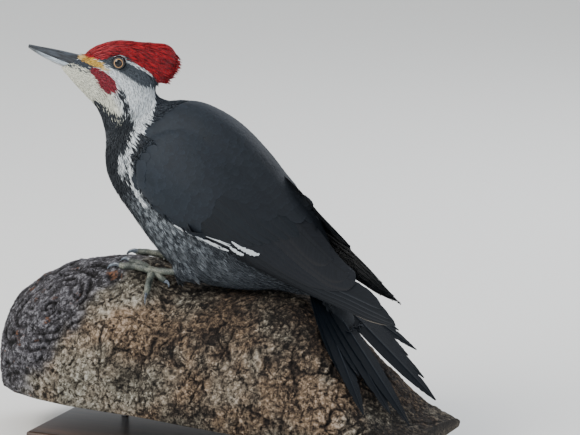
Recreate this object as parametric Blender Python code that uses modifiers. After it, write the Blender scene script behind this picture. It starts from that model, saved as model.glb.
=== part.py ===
"""A life-size male pileated woodpecker, braced by its tail on a split length of burled trunk, on a display stand.

The bird faces -X with its left side towards -Y, and turns its head a little to its left. Sizes are in metres.
The origin is the centre of the underside of the stand's base.
"""

import math

import bmesh
import bpy
from mathutils import Matrix, Vector

MM = 0.001
GAP = 0.3 * MM  # clearance kept between neighbouring solids

# Driving sizes.
RING = 20  # points round a body section
SKULL_CENTRE = Vector((-109.3, -9.0, 303.0)) * MM  # midway between the eyes
HEAD_TURN = 20.6  # degrees, to the bird's left
HEAD_PITCH = 17.1  # degrees, bill up
HEAD_TILT = 5.0  # degrees, left side up
EYE_RADIUS = 5.6 * MM
EYE_PLACE = (-0.9, 10.6, 0.8)  # eye centre ahead, to the side and up, in millimetres
BILL_TIP = 72.2 * MM  # bill tip ahead of the eyes
TAIL_ROOT = Vector((50.0, 0.0, 150.0)) * MM
TAIL_DROOP = 47.0  # degrees below the horizontal
TAIL_ROLL = 12.0  # degrees, left edge down
TAIL_STUMP = 24.0 * MM  # from the root to where the quills leave the body
RECTRIX_THICKNESS = 1.0 * MM
PERCH_HALF_DEPTH = 68.0 * MM
BASE_SIZE = Vector((270.0, 150.0, 12.0)) * MM
BIRD_SHIFT = Vector((28.0, 0.0, 0.0)) * MM  # bird and perch, from the middle of the base
ROD_RADIUS = 3.0 * MM
ROD_DEPTH = 14.0 * MM  # how far a rod goes into the perch

# Sections of the body, as (top, bottom, half width), in millimetres.
# Head sections are measured forward and up from between the eyes, and run back from the bill.
HEAD_SECTIONS = (
    ((29.0, -3.4), (43.5, -18.3), 6.2),
    ((24.0, 1.5), (35.6, -23.2), 9.4),
    ((15.0, 7.5), (26.4, -28.7), 12.4),
    ((3.0, 11.0), (17.6, -33.7), 14.2),
    ((-10.0, 12.0), (10.0, -37.7), 15.2),
    ((-22.0, 7.5), (4.2, -42.4), 16.2),
    ((-31.0, -2.5), (-0.2, -47.8), 17.2),
    ((-35.5, -14.0), (-3.6, -53.8), 18.5),
)
# Neck and trunk sections are in the bird's middle plane, as X and Z, and run back to the tail.
NECK_SECTIONS = (
    ((-72.0, 273.5), (-124.0, 236.0), 21.0),
    ((-57.0, 275.0), (-124.5, 222.0), 25.0),
)
TRUNK_SECTIONS = (
    ((-36.0, 272.5), (-121.5, 209.0), 30.0),
    ((-10.0, 260.0), (-112.0, 195.0), 35.0),
    ((12.0, 241.0), (-100.0, 181.0), 37.0),
    ((30.0, 221.0), (-87.0, 165.0), 37.0),
    ((45.0, 205.5), (-72.0, 149.0), 35.5),
    ((55.5, 192.0), (-54.0, 135.0), 33.0),
    ((63.5, 180.0), (-30.0, 130.0), 29.5),
    ((68.0, 168.0), (-3.0, 129.0), 25.0),
    ((74.0, 158.0), (22.0, 131.5), 19.0),
    ((74.0, 147.0), (44.0, 129.5), 16.0),
    ((71.5, 137.5), (62.0, 128.5), 13.0),
)

# Crest sections: distance ahead of the eyes, top, bottom and half width.
CREST_SECTIONS = (
    (29.0, -0.9, -2.5, 1.0),
    (26.0, 1.9, -2.2, 3.4),
    (21.5, 6.6, -2.8, 6.4),
    (14.0, 12.2, -2.0, 8.8),
    (3.8, 17.2, 2.0, 9.6),
    (-12.0, 20.8, 0.8, 10.3),
    (-25.0, 24.2, -4.0, 9.5),
    (-33.0, 25.4, -8.5, 7.5),
    (-37.5, 23.4, -5.6, 5.8),
    (-41.0, 19.3, 0.6, 4.0),
    (-43.2, 14.8, 6.8, 1.8),
)

# Bill sections: distance ahead of the eyes, culmen, cutting edge, keel and half width.
BILL_SECTIONS = (
    (24.0, -2.8, -11.4, -16.2, 6.2),
    (31.0, -3.5, -11.9, -16.7, 6.0),
    (39.0, -4.1, -12.0, -16.8, 5.3),
    (47.0, -4.8, -11.7, -16.4, 4.5),
    (55.4, -5.7, -11.1, -15.0, 3.6),
    (62.8, -6.7, -10.4, -13.4, 2.8),
    (69.2, -7.4, -9.7, -11.6, 2.1),
    (72.4, -7.8, -9.3, -10.5, 1.5),
)

# Wing sections of the left wing: upper edge, bulge and lower edge as (x, out, z), then thickness.
WING_SECTIONS = (
    ((-84.0, 31.0, 236.0), (-88.0, 34.0, 229.0), (-85.0, 32.0, 221.0), 6.0),
    ((-70.0, 28.0, 251.0), (-80.0, 39.0, 228.0), (-79.0, 37.0, 206.0), 12.0),
    ((-44.0, 23.0, 258.0), (-60.0, 43.0, 226.0), (-66.0, 39.0, 195.0), 14.0),
    ((-12.0, 17.0, 247.0), (-30.0, 45.5, 214.0), (-44.0, 39.0, 181.0), 14.0),
    ((16.0, 14.0, 225.0), (-2.0, 44.5, 195.0), (-18.0, 37.0, 169.0), 13.0),
    ((40.0, 12.0, 202.0), (24.0, 40.0, 174.0), (10.0, 35.0, 157.0), 11.0),
    ((62.0, 12.0, 178.0), (48.0, 34.0, 156.0), (38.0, 31.0, 145.0), 7.0),
    ((80.0, 12.0, 160.0), (72.0, 27.0, 142.0), (66.0, 26.0, 133.0), 4.0),
    ((96.0, 11.0, 148.0), (92.0, 21.0, 132.0), (90.0, 22.0, 124.0), 2.6),
    ((114.0, 12.0, 134.0), (112.0, 18.0, 122.0), (112.0, 19.0, 116.0), 1.8),
    ((131.0, 15.0, 117.5), (131.0, 17.0, 115.5), (131.0, 17.5, 113.5), 1.2),
)
FAR_WING_LIFT = 0.8  # degrees that the right wing is carried higher
FAR_WING_SLIDE = 12.0  # mm that it is drawn further forward
FAR_WING_OVERLAP = 19.0  # mm that its inner feathers reach further over the back
FAR_WING_RISE = 21.0  # mm that they stand higher over the rump
WING_PIVOT = Vector((-70.0, 0.0, 235.0)) * MM
WING_MEETING = -7.0 * MM  # where the two wings meet on the back

# Tail feathers, from the top of the fan down: angle from the tail's axis, with the left side negative, length from
# the root and half width.
RECTRICES = (
    (-8.2, 148.0, 9.6),
    (9.6, 144.0, 11.0),
    (-13.2, 134.0, 9.5),
    (14.0, 126.0, 8.0),
    (-19.0, 98.0, 8.5),
    (18.0, 106.0, 8.0),
    (-24.8, 131.0, 9.5),
    (25.0, 111.0, 6.5),
    (-29.0, 97.0, 7.5),
    (29.5, 92.0, 6.0),
)

RECTRIX_SHAPE = ((0, 0.48), (0.2, 0.82), (0.4, 0.98), (0.58, 0.97), (0.74, 0.82), (0.9, 0.46), (1, 0.08))
TAIL_SAG = 3.0  # mm that the longest feathers bend down at their tips

# Perch profile along the trunk: x, top, half depth as a share of the full one.
PERCH_SECTIONS = (
    (-212.0, 80.0, 0.22),
    (-207.0, 98.0, 0.50),
    (-197.0, 113.0, 0.74),
    (-180.0, 125.0, 0.92),
    (-156.0, 136.0, 1.02),
    (-128.0, 142.5, 1.06),
    (-104.0, 145.0, 1.04),
    (-88.0, 144.0, 1.02),
    (-74.0, 139.5, 1.00),
    (-60.0, 131.5, 1.00),
    (-46.0, 126.0, 1.01),
    (-26.0, 126.0, 1.02),
    (0.0, 127.3, 1.02),
    (26.0, 128.0, 1.01),
    (48.0, 124.8, 1.00),
    (66.0, 113.5, 0.99),
    (84.0, 94.0, 0.98),
    (102.0, 75.0, 0.97),
    (112.0, 63.0, 0.96),
    (120.0, 54.0, 0.95),
    (132.0, 43.0, 0.94),
    (142.0, 36.6, 0.92),
    (156.0, 31.5, 0.86),
)
PERCH_FLAT = ((-212.0, 40.0), (156.0, 19.0))  # the sawn underside, from end to end
PERCH_UNDERCUT = 0.32  # how far the sides turn in again below their widest, as a share of the height

# Feet: where the toes meet, and the four toes as (direction in degrees from straight ahead,
# outwards positive, length, claw length), first toe inwards and back.
FEET = {
    "left": Vector((-76.0, -21.0)),
    "right": Vector((-84.0, 19.0)),
}
TOES = (
    (176.0, 11.0, 8.0),
    (-13.0, 22.0, 11.0),
    (7.0, 27.0, 12.0),
    (103.0, 20.0, 11.0),
)
TOE_RADIUS = 2.9
CLAW_RADIUS = 1.65
CLAW_LIFT = 14.0  # degrees that a claw first rises from its toe
CLAW_CURL = 82.0  # degrees that it then bends down
TARSUS_LENGTH = 31.0
HEEL_RISE = 2.0
THIGH_RISE = 6.5  # heel above the bark under the foot
THIGH_SIZE = Vector((13.0, 8.5, 9.5))


def start_scene():
    for item in list(bpy.data.objects):
        bpy.data.objects.remove(item)
    made = {}
    for name in ("pileated_woodpecker", "cutters"):
        made[name] = bpy.data.collections.new(name)
        bpy.context.scene.collection.children.link(made[name])
    made["cutters"].hide_render = True
    return made


COLLECTIONS = start_scene()
MOUNT_FRAME = bpy.data.objects.new("mount_frame", None)
MOUNT_FRAME.location = BIRD_SHIFT
COLLECTIONS["pileated_woodpecker"].objects.link(MOUNT_FRAME)


def finish_of(name, colour, roughness, metallic=0.0):
    material = bpy.data.materials.new(name)
    material.use_nodes = True
    shader = material.node_tree.nodes["Principled BSDF"]
    shader.inputs["Base Color"].default_value = (*colour, 1.0)
    shader.inputs["Roughness"].default_value = roughness
    shader.inputs["Metallic"].default_value = metallic
    return material


FINISHES = {
    "black_plumage": finish_of("black_plumage", (0.030, 0.033, 0.038), 0.75),
    "flight_feather": finish_of("flight_feather", (0.018, 0.018, 0.020), 0.6),
    "white_plumage": finish_of("white_plumage", (0.62, 0.65, 0.66), 0.85),
    "red_plumage": finish_of("red_plumage", (0.42, 0.020, 0.022), 0.7),
    "bill_horn": finish_of("bill_horn", (0.09, 0.10, 0.12), 0.35),
    "eye": finish_of("eye", (0.010, 0.010, 0.012), 0.05),
    "foot_scale": finish_of("foot_scale", (0.19, 0.20, 0.18), 0.55),
    "claw_horn": finish_of("claw_horn", (0.10, 0.11, 0.13), 0.3),
    "bark": finish_of("bark", (0.20, 0.165, 0.13), 0.9),
    "stand_board": finish_of("stand_board", (0.045, 0.030, 0.022), 0.4),
    "stand_steel": finish_of("stand_steel", (0.35, 0.35, 0.36), 0.35, 1.0),
}


def add(name, mesh, finish, cutter=False):
    """A named object in the bird's frame. A cutter is hidden and has no finish."""
    item = bpy.data.objects.new(name, mesh)
    COLLECTIONS["cutters" if cutter else "pileated_woodpecker"].objects.link(item)
    item.parent = MOUNT_FRAME
    if cutter:
        item.hide_render = True
        item.display_type = "WIRE"
    else:
        mesh.materials.append(FINISHES[finish])
    return item


def loft(name, rings, finish, cutter=False):
    """A closed skin through rings of points, with a flat cap at each end."""
    bm = bmesh.new()
    loops = [[bm.verts.new(p) for p in ring] for ring in rings]
    count = len(rings[0])
    for before, after in zip(loops, loops[1:]):
        for i in range(count):
            j = (i + 1) % count
            bm.faces.new((before[i], before[j], after[j], after[i]))
    bm.faces.new(loops[0][::-1])
    bm.faces.new(loops[-1])
    bmesh.ops.recalc_face_normals(bm, faces=bm.faces)
    mesh = bpy.data.meshes.new(name)
    bm.to_mesh(mesh)
    bm.free()
    mesh.shade_smooth()
    mesh.set_sharp_from_angle(angle=math.radians(50))
    return add(name, mesh, finish, cutter)


def between(rows, t):
    """Rows of numbers or vectors read at t from 0 to 1, on a smooth curve through them."""
    place = t * (len(rows) - 1)
    i = min(int(place), len(rows) - 2)
    f = place - i
    a, b, c, d = (rows[min(max(i + k, 0), len(rows) - 1)] for k in (-1, 0, 1, 2))

    def blended(p, q, r, s):
        curve = 2 * q + (r - p) * f + (2 * p - 5 * q + 4 * r - s) * f * f
        return (curve + (3 * q - p - 3 * r + s) * f * f * f) * 0.5

    return [blended(*values) for values in zip(a, b, c, d)]


def head_matrix():
    turn = Matrix.Rotation(math.radians(HEAD_TURN), 4, "Z")
    tilt = Matrix.Rotation(math.radians(-HEAD_TILT), 4, "X")
    pitch = Matrix.Rotation(math.radians(HEAD_PITCH), 4, "Y")
    return Matrix.Translation(SKULL_CENTRE) @ turn @ tilt @ pitch


HEAD = head_matrix()


def on_head(ahead, left, up):
    """A point given in millimetres from between the eyes."""
    return HEAD @ (Vector((-ahead, -left, up)) * MM)


def body_rows():
    """Top, bottom, left direction and half width of every section, from bill to tail."""
    head_left = (HEAD.to_3x3() @ Vector((0, -1, 0))).normalized()
    rows = []
    for top, bottom, width in HEAD_SECTIONS:
        rows.append((on_head(top[0], 0, top[1]), on_head(bottom[0], 0, bottom[1]), head_left, width * MM))
    for top, bottom, width in NECK_SECTIONS + TRUNK_SECTIONS:
        upper = Vector((top[0], 0, top[1])) * MM
        lower = Vector((bottom[0], 0, bottom[1])) * MM
        rows.append((upper, lower, Vector((0, -1, 0)), width * MM))
    return rows


BODY_ROWS = body_rows()
LAST_ROW = len(BODY_ROWS) - 1
NECK_START = len(HEAD_SECTIONS) - 1
NECK_END = NECK_START + len(NECK_SECTIONS) + 1


def body_ring(row, grow=0.0, slide=0.0):
    """One section of the body. grow fattens it, slide moves it along the body."""
    top, bottom, left, width = between(BODY_ROWS, row / LAST_ROW)
    left = left.normalized()
    middle = (top + bottom) / 2
    up = (top - bottom) / 2
    along = up.cross(left).normalized()
    points = []
    for i in range(RING):
        angle = math.tau * i / RING
        out = math.sin(angle)
        high = math.cos(angle)
        # A section is widest a little below its middle, and flatter along the sides.
        spread = (width * (1 - 0.14 * high) + grow) * math.copysign(abs(out) ** 0.88, out)
        points.append(middle + up * (1 + grow / up.length) * high + left * spread + along * slide)
    return points


def body_part(name, first, last, steps, finish, grow=0.0, trim=(0.0, 0.0), cutter=False):
    """The body from one section to another, with its end caps moved in by trim."""
    count = round((last - first) * steps)
    rings = []
    for k in range(count + 1):
        slide = 0.0
        if k == 0:
            slide = trim[0]
        if k == count:
            slide = -trim[1]
        rings.append(body_ring(first + (last - first) * k / count, grow, slide))
    return loft(name, rings, finish, cutter)


def cut(item, cutter, how="DIFFERENCE"):
    modifier = item.modifiers.new(cutter.name, "BOOLEAN")
    modifier.object = cutter
    modifier.operation = how
    modifier.solver = "EXACT"


def ball(name, centre, radius, finish, cutter=False, rows=10):
    bm = bmesh.new()
    bmesh.ops.create_uvsphere(bm, u_segments=rows * 2, v_segments=rows, radius=radius)
    mesh = bpy.data.meshes.new(name)
    bm.to_mesh(mesh)
    bm.free()
    mesh.shade_smooth()
    item = add(name, mesh, finish, cutter)
    item.location = centre
    return item


def bill_ring(section, upper, grow):
    """Half of the bill at one station: a ridged arch above the cutting edge, or a keel below it."""
    ahead, culmen, edge, keel, width = section
    count = 9
    split = GAP / MM / 2
    if upper:
        flat, height, half = edge + split - grow, culmen - edge - split + 2 * grow, width + grow
    else:
        flat, height, half = edge - split + grow, keel - edge + split - 2 * grow, width * 0.94 + grow
    points = []
    for k in range(count):
        angle = math.pi * k / (count - 1)
        side = math.copysign(abs(math.cos(angle)) ** 0.9, math.cos(angle))
        points.append(on_head(ahead, half * side, flat + height * math.sin(angle) ** 1.25))
    return points


def make_bill(head):
    for name, upper in (("bill_upper", True), ("bill_lower", False)):
        loft(name, [bill_ring(s, upper, 0.0) for s in BILL_SECTIONS], "bill_horn")
    socket = []
    for ahead, culmen, edge, keel, width in BILL_SECTIONS[:4]:
        ring = []
        for k in range(16):
            angle = math.tau * k / 16
            middle = (culmen + keel) / 2
            high = (culmen - keel) / 2 + 0.5
            reach = ahead if ahead > BILL_SECTIONS[0][0] else ahead - 0.5
            ring.append(on_head(reach, (width + 0.5) * math.cos(angle), middle + high * math.sin(angle)))
        socket.append(ring)
    cut(head, loft("bill_socket", socket, None, cutter=True))


def eye_centre(sign):
    return on_head(EYE_PLACE[0], sign * EYE_PLACE[1], EYE_PLACE[2])


def make_head():
    head = body_part("head", 0, NECK_START, 2, "black_plumage", trim=(0.0, GAP / 2))
    for side, sign in (("left", 1), ("right", -1)):
        centre = eye_centre(sign)
        ball("eye_" + side, centre, EYE_RADIUS, "eye")
        cut(head, ball("socket_" + side, centre, EYE_RADIUS + GAP, None, cutter=True))
    make_bill(head)
    return head


def make_crest():
    rings = []
    steps = 2 * (len(CREST_SECTIONS) - 1)
    for k in range(steps + 1):
        ahead, top, bottom, width = between(CREST_SECTIONS, k / steps)
        middle, high = (top + bottom) / 2, (top - bottom) / 2
        ring = []
        for i in range(14):
            angle = math.tau * i / 14
            ring.append(on_head(ahead, width * math.sin(angle), middle + high * math.cos(angle)))
        rings.append(ring)
    crest = loft("crest", rings, "red_plumage")
    fat = body_part("crest_seat", 0, NECK_START + 1, 2, None, grow=GAP, cutter=True)
    cut(crest, fat)
    return crest


def wing_ring(section, side, overlap, rise):
    """A crescent from the wing's upper edge over its bulge to its lower edge, and back inside."""
    top, bulge, low, thick = section
    count = 9

    def placed(p, reach, lift):
        return Vector((p[0], side * (p[1] - reach), p[2] + lift)) * MM

    a, b, c = placed(top, overlap, rise), placed(bulge, 0.0, rise * 0.45), placed(low, 0.0, 0.0)
    outer = []
    for k in range(count):
        t = k / (count - 1)
        outer.append(a * (1 - t) ** 2 + (b * 2 - (a + c) / 2) * 2 * t * (1 - t) + c * t * t)
    inner = []
    for k in range(count - 2, 0, -1):
        t = k / (count - 1)
        chord = (c - a).normalized()
        along = Vector((0.78, 0, -0.62))
        inward = along.cross(chord) * -side
        if inward.y * side > 0:
            inward = -inward
        inner.append(outer[k] + inward.normalized() * thick * MM * (0.35 + 0.65 * math.sin(math.pi * t)))
    return outer + inner


def make_wing(side_name, side, far, trunk_fat):
    """One folded wing. far is 1 for the right wing, which lies a little higher and further forward."""
    raise_wing = Matrix.Translation(WING_PIVOT) @ Matrix.Rotation(math.radians(-FAR_WING_LIFT * far), 4, "Y")
    raise_wing = raise_wing @ Matrix.Translation(Vector((-0.87, 0, 0.49)) * MM * FAR_WING_SLIDE * far)
    raise_wing = raise_wing @ Matrix.Translation(-WING_PIVOT)
    steps = 2 * (len(WING_SECTIONS) - 1)
    flat = [(Vector(a), Vector(b), Vector(c), t) for a, b, c, t in WING_SECTIONS]
    rings = []
    for k in range(steps + 1):
        share = k / steps
        inner = far * min(max((share - 0.42) / 0.16, 0.0), 1.0) * min(1.0, (1.0 - share) / 0.2)
        ring = wing_ring(between(flat, share), side, FAR_WING_OVERLAP * inner, FAR_WING_RISE * inner)
        rings.append([raise_wing @ p for p in ring])
    wing = loft("wing_" + side_name, rings, "flight_feather")
    cut(wing, trunk_fat)
    bm = bmesh.new()
    bmesh.ops.create_cube(bm, size=1.0)
    wall = bpy.data.meshes.new("wall")
    bm.to_mesh(wall)
    bm.free()
    other_side = add("wall_" + side_name, wall, None, cutter=True)
    other_side.scale = (0.5, 0.1, 0.3)
    other_side.location = (0.0, WING_MEETING - side * (0.05 - GAP / 2), 0.2)
    cut(wing, other_side)
    return wing


def tail_frame():
    droop = Matrix.Rotation(math.radians(TAIL_DROOP), 4, "Y")
    roll = Matrix.Rotation(math.radians(TAIL_ROLL), 4, "X")
    return Matrix.Translation(TAIL_ROOT) @ droop @ roll


TAIL = tail_frame()


def rectrix(name, number, cutter):
    """One stiff tail feather: widest past its middle, bent down along its shaft, ending in a point."""
    angle, length, half = RECTRICES[number]
    turn = Matrix.Rotation(math.radians(angle), 4, "Z")
    drop = -0.75 * MM * (number // 2) - (0.35 * MM if angle < 0 else 0.0)
    rings = []
    start = TAIL_STUMP / MM - 8.0
    for share, wide in RECTRIX_SHAPE:
        x = start + (length - start) * share
        y = half * wide
        sag = -TAIL_SAG * (x / RECTRICES[0][1]) ** 2
        ring = []
        for across, low in ((-1, 0), (0, 0), (1, 0), (1, 1), (0, 1), (-1, 1)):
            ring.append(Vector((x, across * y, sag)) * MM - Vector((0, 0, low * RECTRIX_THICKNESS)))
        rings.append([TAIL @ (turn @ p + Vector((0, 0, drop))) for p in ring])
    return loft(name, rings, "flight_feather", cutter)


def make_tail():
    """The fan of tail feathers, joined where they overlap."""
    stump = []
    for x, y, z in ((TAIL_STUMP / MM + 0.3, 11.0, 4.2), (34.0, 12.0, 3.6), (48.0, 13.0, 2.6), (58.0, 12.0, 1.6)):
        ring = []
        for i in range(16):
            angle = math.tau * i / 16
            low = -2.2 + z * math.sin(angle)
            ring.append(TAIL @ (Vector((x, y * math.cos(angle), low)) * MM))
        stump.append(ring)
    tail = loft("tail", stump, "flight_feather")
    for number in range(len(RECTRICES)):
        cut(tail, rectrix("rectrix_%d" % number, number, cutter=True), "UNION")
    return tail


def perch_floor(x):
    (x0, z0), (x1, z1) = PERCH_FLAT
    return z0 + (z1 - z0) * (x - x0) / (x1 - x0)


def perch_station(x):
    """Top height and half depth of the perch at x, in millimetres."""
    rows = PERCH_SECTIONS
    for a, b in zip(rows, rows[1:]):
        if x <= b[0]:
            f = (x - a[0]) / (b[0] - a[0])
            f = f * f * (3 - 2 * f) * 0.35 + f * 0.65
            return a[1] + (b[1] - a[1]) * f, (a[2] + (b[2] - a[2]) * f) * PERCH_HALF_DEPTH / MM
    return rows[-1][1], rows[-1][2] * PERCH_HALF_DEPTH / MM


def perch_height(x, y):
    """Height of the bark under a point of the bird, in millimetres."""
    top, depth = perch_station(x)
    base = perch_floor(x)
    arch = math.sqrt(max(1 - (y / depth) ** 2, 0.0))
    return base + (top - base) * (arch + PERCH_UNDERCUT) / (1 + PERCH_UNDERCUT)


def make_perch():
    rings = []
    stations = [s[0] for s in PERCH_SECTIONS]
    places = []
    for a, b in zip(stations, stations[1:]):
        places += [a] if b - a < 26.0 else [a, (a + b) / 2]
    for x in [*places, stations[-1]]:
        top, depth = perch_station(x)
        base = perch_floor(x)
        ring = []
        low = math.asin(PERCH_UNDERCUT)
        for i in range(21):
            angle = -low + (math.pi + 2 * low) * i / 20
            arch = (math.sin(angle) + PERCH_UNDERCUT) / (1 + PERCH_UNDERCUT)
            ring.append(Vector((x, -depth * math.cos(angle), base + (top - base) * arch)) * MM)
        rings.append(ring)
    return loft("perch_trunk", rings, "bark")


def tube(name, points, radii, finish, cutter=False, sides=2):
    """A round limb along points, made a closed mesh."""
    curve = bpy.data.curves.new(name, "CURVE")
    curve.dimensions = "3D"
    curve.bevel_depth = MM
    curve.bevel_resolution = sides
    curve.use_fill_caps = True
    spline = curve.splines.new("POLY")
    spline.points.add(len(points) - 1)
    for point, place, radius in zip(spline.points, points, radii):
        point.co = (*(place * MM), 1.0)
        point.radius = radius
    guide = bpy.data.objects.new(name + "_guide", curve)
    COLLECTIONS["cutters"].objects.link(guide)
    graph = bpy.context.evaluated_depsgraph_get()
    mesh = bpy.data.meshes.new_from_object(guide.evaluated_get(graph))
    bpy.data.objects.remove(guide)
    bm = bmesh.new()
    bm.from_mesh(mesh)
    bmesh.ops.remove_doubles(bm, verts=bm.verts, dist=1e-6)
    bmesh.ops.recalc_face_normals(bm, faces=bm.faces)
    bm.to_mesh(mesh)
    bm.free()
    mesh.materials.clear()
    mesh.shade_smooth()
    mesh.set_sharp_from_angle(angle=math.radians(50))
    return add(name, mesh, finish, cutter)


def toe_path(joint, heading, length):
    """Centre points of a toe that lies on the bark, from the joint to its last pad, in millimetres."""
    ahead = Vector((-math.cos(heading), math.sin(heading)))
    points = []
    for k in range(5):
        flat = joint + ahead * length * k / 4
        radius = TOE_RADIUS * (1 - 0.08 * k)
        slope = perch_height(flat.x, flat.y) - perch_height(flat.x + ahead.x, flat.y + ahead.y)
        lean = math.hypot(1.0, slope)
        points.append(Vector((flat.x, flat.y, perch_height(flat.x, flat.y) + radius * lean + 0.7)))
    return points


def make_foot(side_name, side):
    joint = FEET[side_name]
    joint_top = perch_height(joint.x, joint.y) + TOE_RADIUS + 0.9
    centre = Vector((joint.x, joint.y, joint_top))
    heel = centre + Vector((TARSUS_LENGTH, 0, HEEL_RISE))
    shin = [centre.lerp(heel, k / 4) for k in range(5)]
    foot = tube("foot_" + side_name, shin, (3.4, 2.7, 2.5, 2.8, 3.4), "foot_scale", sides=3)
    for number, (angle, length, claw) in enumerate(TOES, 1):
        heading = math.radians(angle) * side
        path = toe_path(joint, heading, length)
        path[0] = centre.copy()
        swell = (1.0, 0.98, 0.86, 0.9, 0.8)
        radii = [TOE_RADIUS * s for s in swell]
        toe = tube("toe_%s_%d" % (side_name, number), path, radii, None, cutter=True, sides=3)
        cut(foot, toe, "UNION")
        make_claw(side_name, number, path, claw)
    return foot


def make_claw(side_name, number, path, length):
    """A hooked claw that leaves the last pad forward and curls down to the bark."""
    forward = (path[-1] - path[-2]).normalized()
    level = Vector((forward.x, forward.y, 0)).normalized()
    slope = math.degrees(math.asin(forward.z))
    place = path[-1] + forward * (GAP / MM + CLAW_RADIUS * math.sin(math.radians(CLAW_LIFT)))
    points, radii = [], []
    for k in range(7):
        f = k / 6
        points.append(place.copy())
        radii.append(CLAW_RADIUS * (1 - f) ** 0.7 + 0.14)
        bend = math.radians(slope + CLAW_LIFT - CLAW_CURL * f)
        place = place + (level * math.cos(bend) + Vector((0, 0, math.sin(bend)))) * length / 6
    lift = 0.4 - min(p.z - perch_height(p.x, p.y) - r for p, r in zip(points, radii))
    for k, p in enumerate(points[2:], 1):
        p.z += max(lift, 0.0) * (k / 5) ** 0.6
    return tube("claw_%s_%d" % (side_name, number), points, radii, "claw_horn")


def make_thigh(side_name, foot, trunk_fat):
    """The feathered upper leg where it stands out of the belly, round the heel."""
    joint = FEET[side_name]
    heel = Vector((joint.x + TARSUS_LENGTH, joint.y, perch_height(joint.x, joint.y) + THIGH_RISE)) * MM
    thigh = ball("thigh_" + side_name, heel, 1.0, "black_plumage", rows=10)
    thigh.data.transform(Matrix.Diagonal((*(THIGH_SIZE * MM), 1.0)))
    cover = ball("thigh_cover_" + side_name, heel, 1.0, None, cutter=True, rows=10)
    cover.data.transform(Matrix.Diagonal((*(THIGH_SIZE * MM + Vector((GAP, GAP, GAP))), 1.0)))
    cut(thigh, trunk_fat)
    cut(foot, cover)
    cut(foot, trunk_fat)


def make_stand():
    bpy.ops.mesh.primitive_cube_add(size=1.0, location=(0, 0, BASE_SIZE.z / 2))
    base = bpy.context.object
    base.name = "stand_base"
    base.data.transform(Matrix.Diagonal((*BASE_SIZE, 1.0)))
    base.data.materials.append(FINISHES["stand_board"])
    for collection in list(base.users_collection):
        collection.objects.unlink(base)
    COLLECTIONS["pileated_woodpecker"].objects.link(base)
    edge = base.modifiers.new("eased_edges", "BEVEL")
    edge.width = 2.0 * MM
    edge.segments = 2
    return base


def make_rods(perch):
    for name, x in (("stand_rod_front", -112.0), ("stand_rod_rear", 42.0)):
        top = perch_floor(x) * MM + ROD_DEPTH
        low = BASE_SIZE.z + GAP
        for label, radius, reach in ((name, ROD_RADIUS, 0.0), (name + "_hole", ROD_RADIUS + GAP, GAP)):
            bm = bmesh.new()
            bmesh.ops.create_cone(
                bm, cap_ends=True, segments=24, radius1=radius, radius2=radius, depth=top + reach - low
            )
            bmesh.ops.translate(bm, verts=bm.verts, vec=Vector((x * MM, 0, (top + reach + low) / 2)))
            mesh = bpy.data.meshes.new(label)
            bm.to_mesh(mesh)
            bm.free()
            rod = add(label, mesh, "stand_steel", cutter=label != name)
            if label != name:
                cut(perch, rod)


def main():
    make_head()
    make_crest()
    body_part("neck", NECK_START, NECK_END, 2, "black_plumage", trim=(GAP / 2, GAP / 2))
    body_part("trunk", NECK_END, LAST_ROW, 2, "black_plumage", trim=(GAP / 2, 0.0))
    trunk_fat = body_part(
        "trunk_seat", NECK_START + 1, LAST_ROW, 2, None, grow=GAP * 1.5, trim=(0.0, -GAP), cutter=True
    )
    for side_name, side, far in (("left", -1, 0), ("right", 1, 1)):
        make_wing(side_name, side, far, trunk_fat)
        foot = make_foot(side_name, side)
        make_thigh(side_name, foot, trunk_fat)
    cut(make_tail(), trunk_fat)
    perch = make_perch()
    make_stand()
    make_rods(perch)


main()
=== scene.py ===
import math

import bmesh
import bpy
import numpy as np
from mathutils import Matrix, Vector, noise
from mathutils.bvhtree import BVHTree
from mathutils.kdtree import KDTree


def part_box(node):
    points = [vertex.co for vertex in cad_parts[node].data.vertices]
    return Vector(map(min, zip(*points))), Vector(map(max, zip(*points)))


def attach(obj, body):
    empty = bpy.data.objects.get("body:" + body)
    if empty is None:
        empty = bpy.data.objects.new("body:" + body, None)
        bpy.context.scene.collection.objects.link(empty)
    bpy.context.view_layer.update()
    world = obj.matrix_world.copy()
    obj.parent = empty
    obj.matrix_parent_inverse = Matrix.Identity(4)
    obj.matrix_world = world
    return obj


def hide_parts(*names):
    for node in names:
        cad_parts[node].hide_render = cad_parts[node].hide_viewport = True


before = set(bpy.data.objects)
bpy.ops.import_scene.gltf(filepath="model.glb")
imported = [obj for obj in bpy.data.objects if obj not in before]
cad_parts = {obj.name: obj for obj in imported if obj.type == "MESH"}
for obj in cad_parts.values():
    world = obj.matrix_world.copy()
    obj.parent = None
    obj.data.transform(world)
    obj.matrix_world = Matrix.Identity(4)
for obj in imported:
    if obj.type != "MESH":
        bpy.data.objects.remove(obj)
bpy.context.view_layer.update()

bl_info = {
    "name": "Pileated woodpecker on a burl",
    "version": (1, 0, 0),
    "blender": (4, 5, 0),
    "location": "3D View > Sidebar > Woodpecker",
    "description": "Builds the plumage, bill, feet, perch and stage of a life-size woodpecker",
    "category": "Object",
}

MM = 0.001
BIRD_SHIFT = np.array(Vector((28.0, 0.0, 0.0)) * MM)  # from the middle of the stand to the bird's own zero

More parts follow.
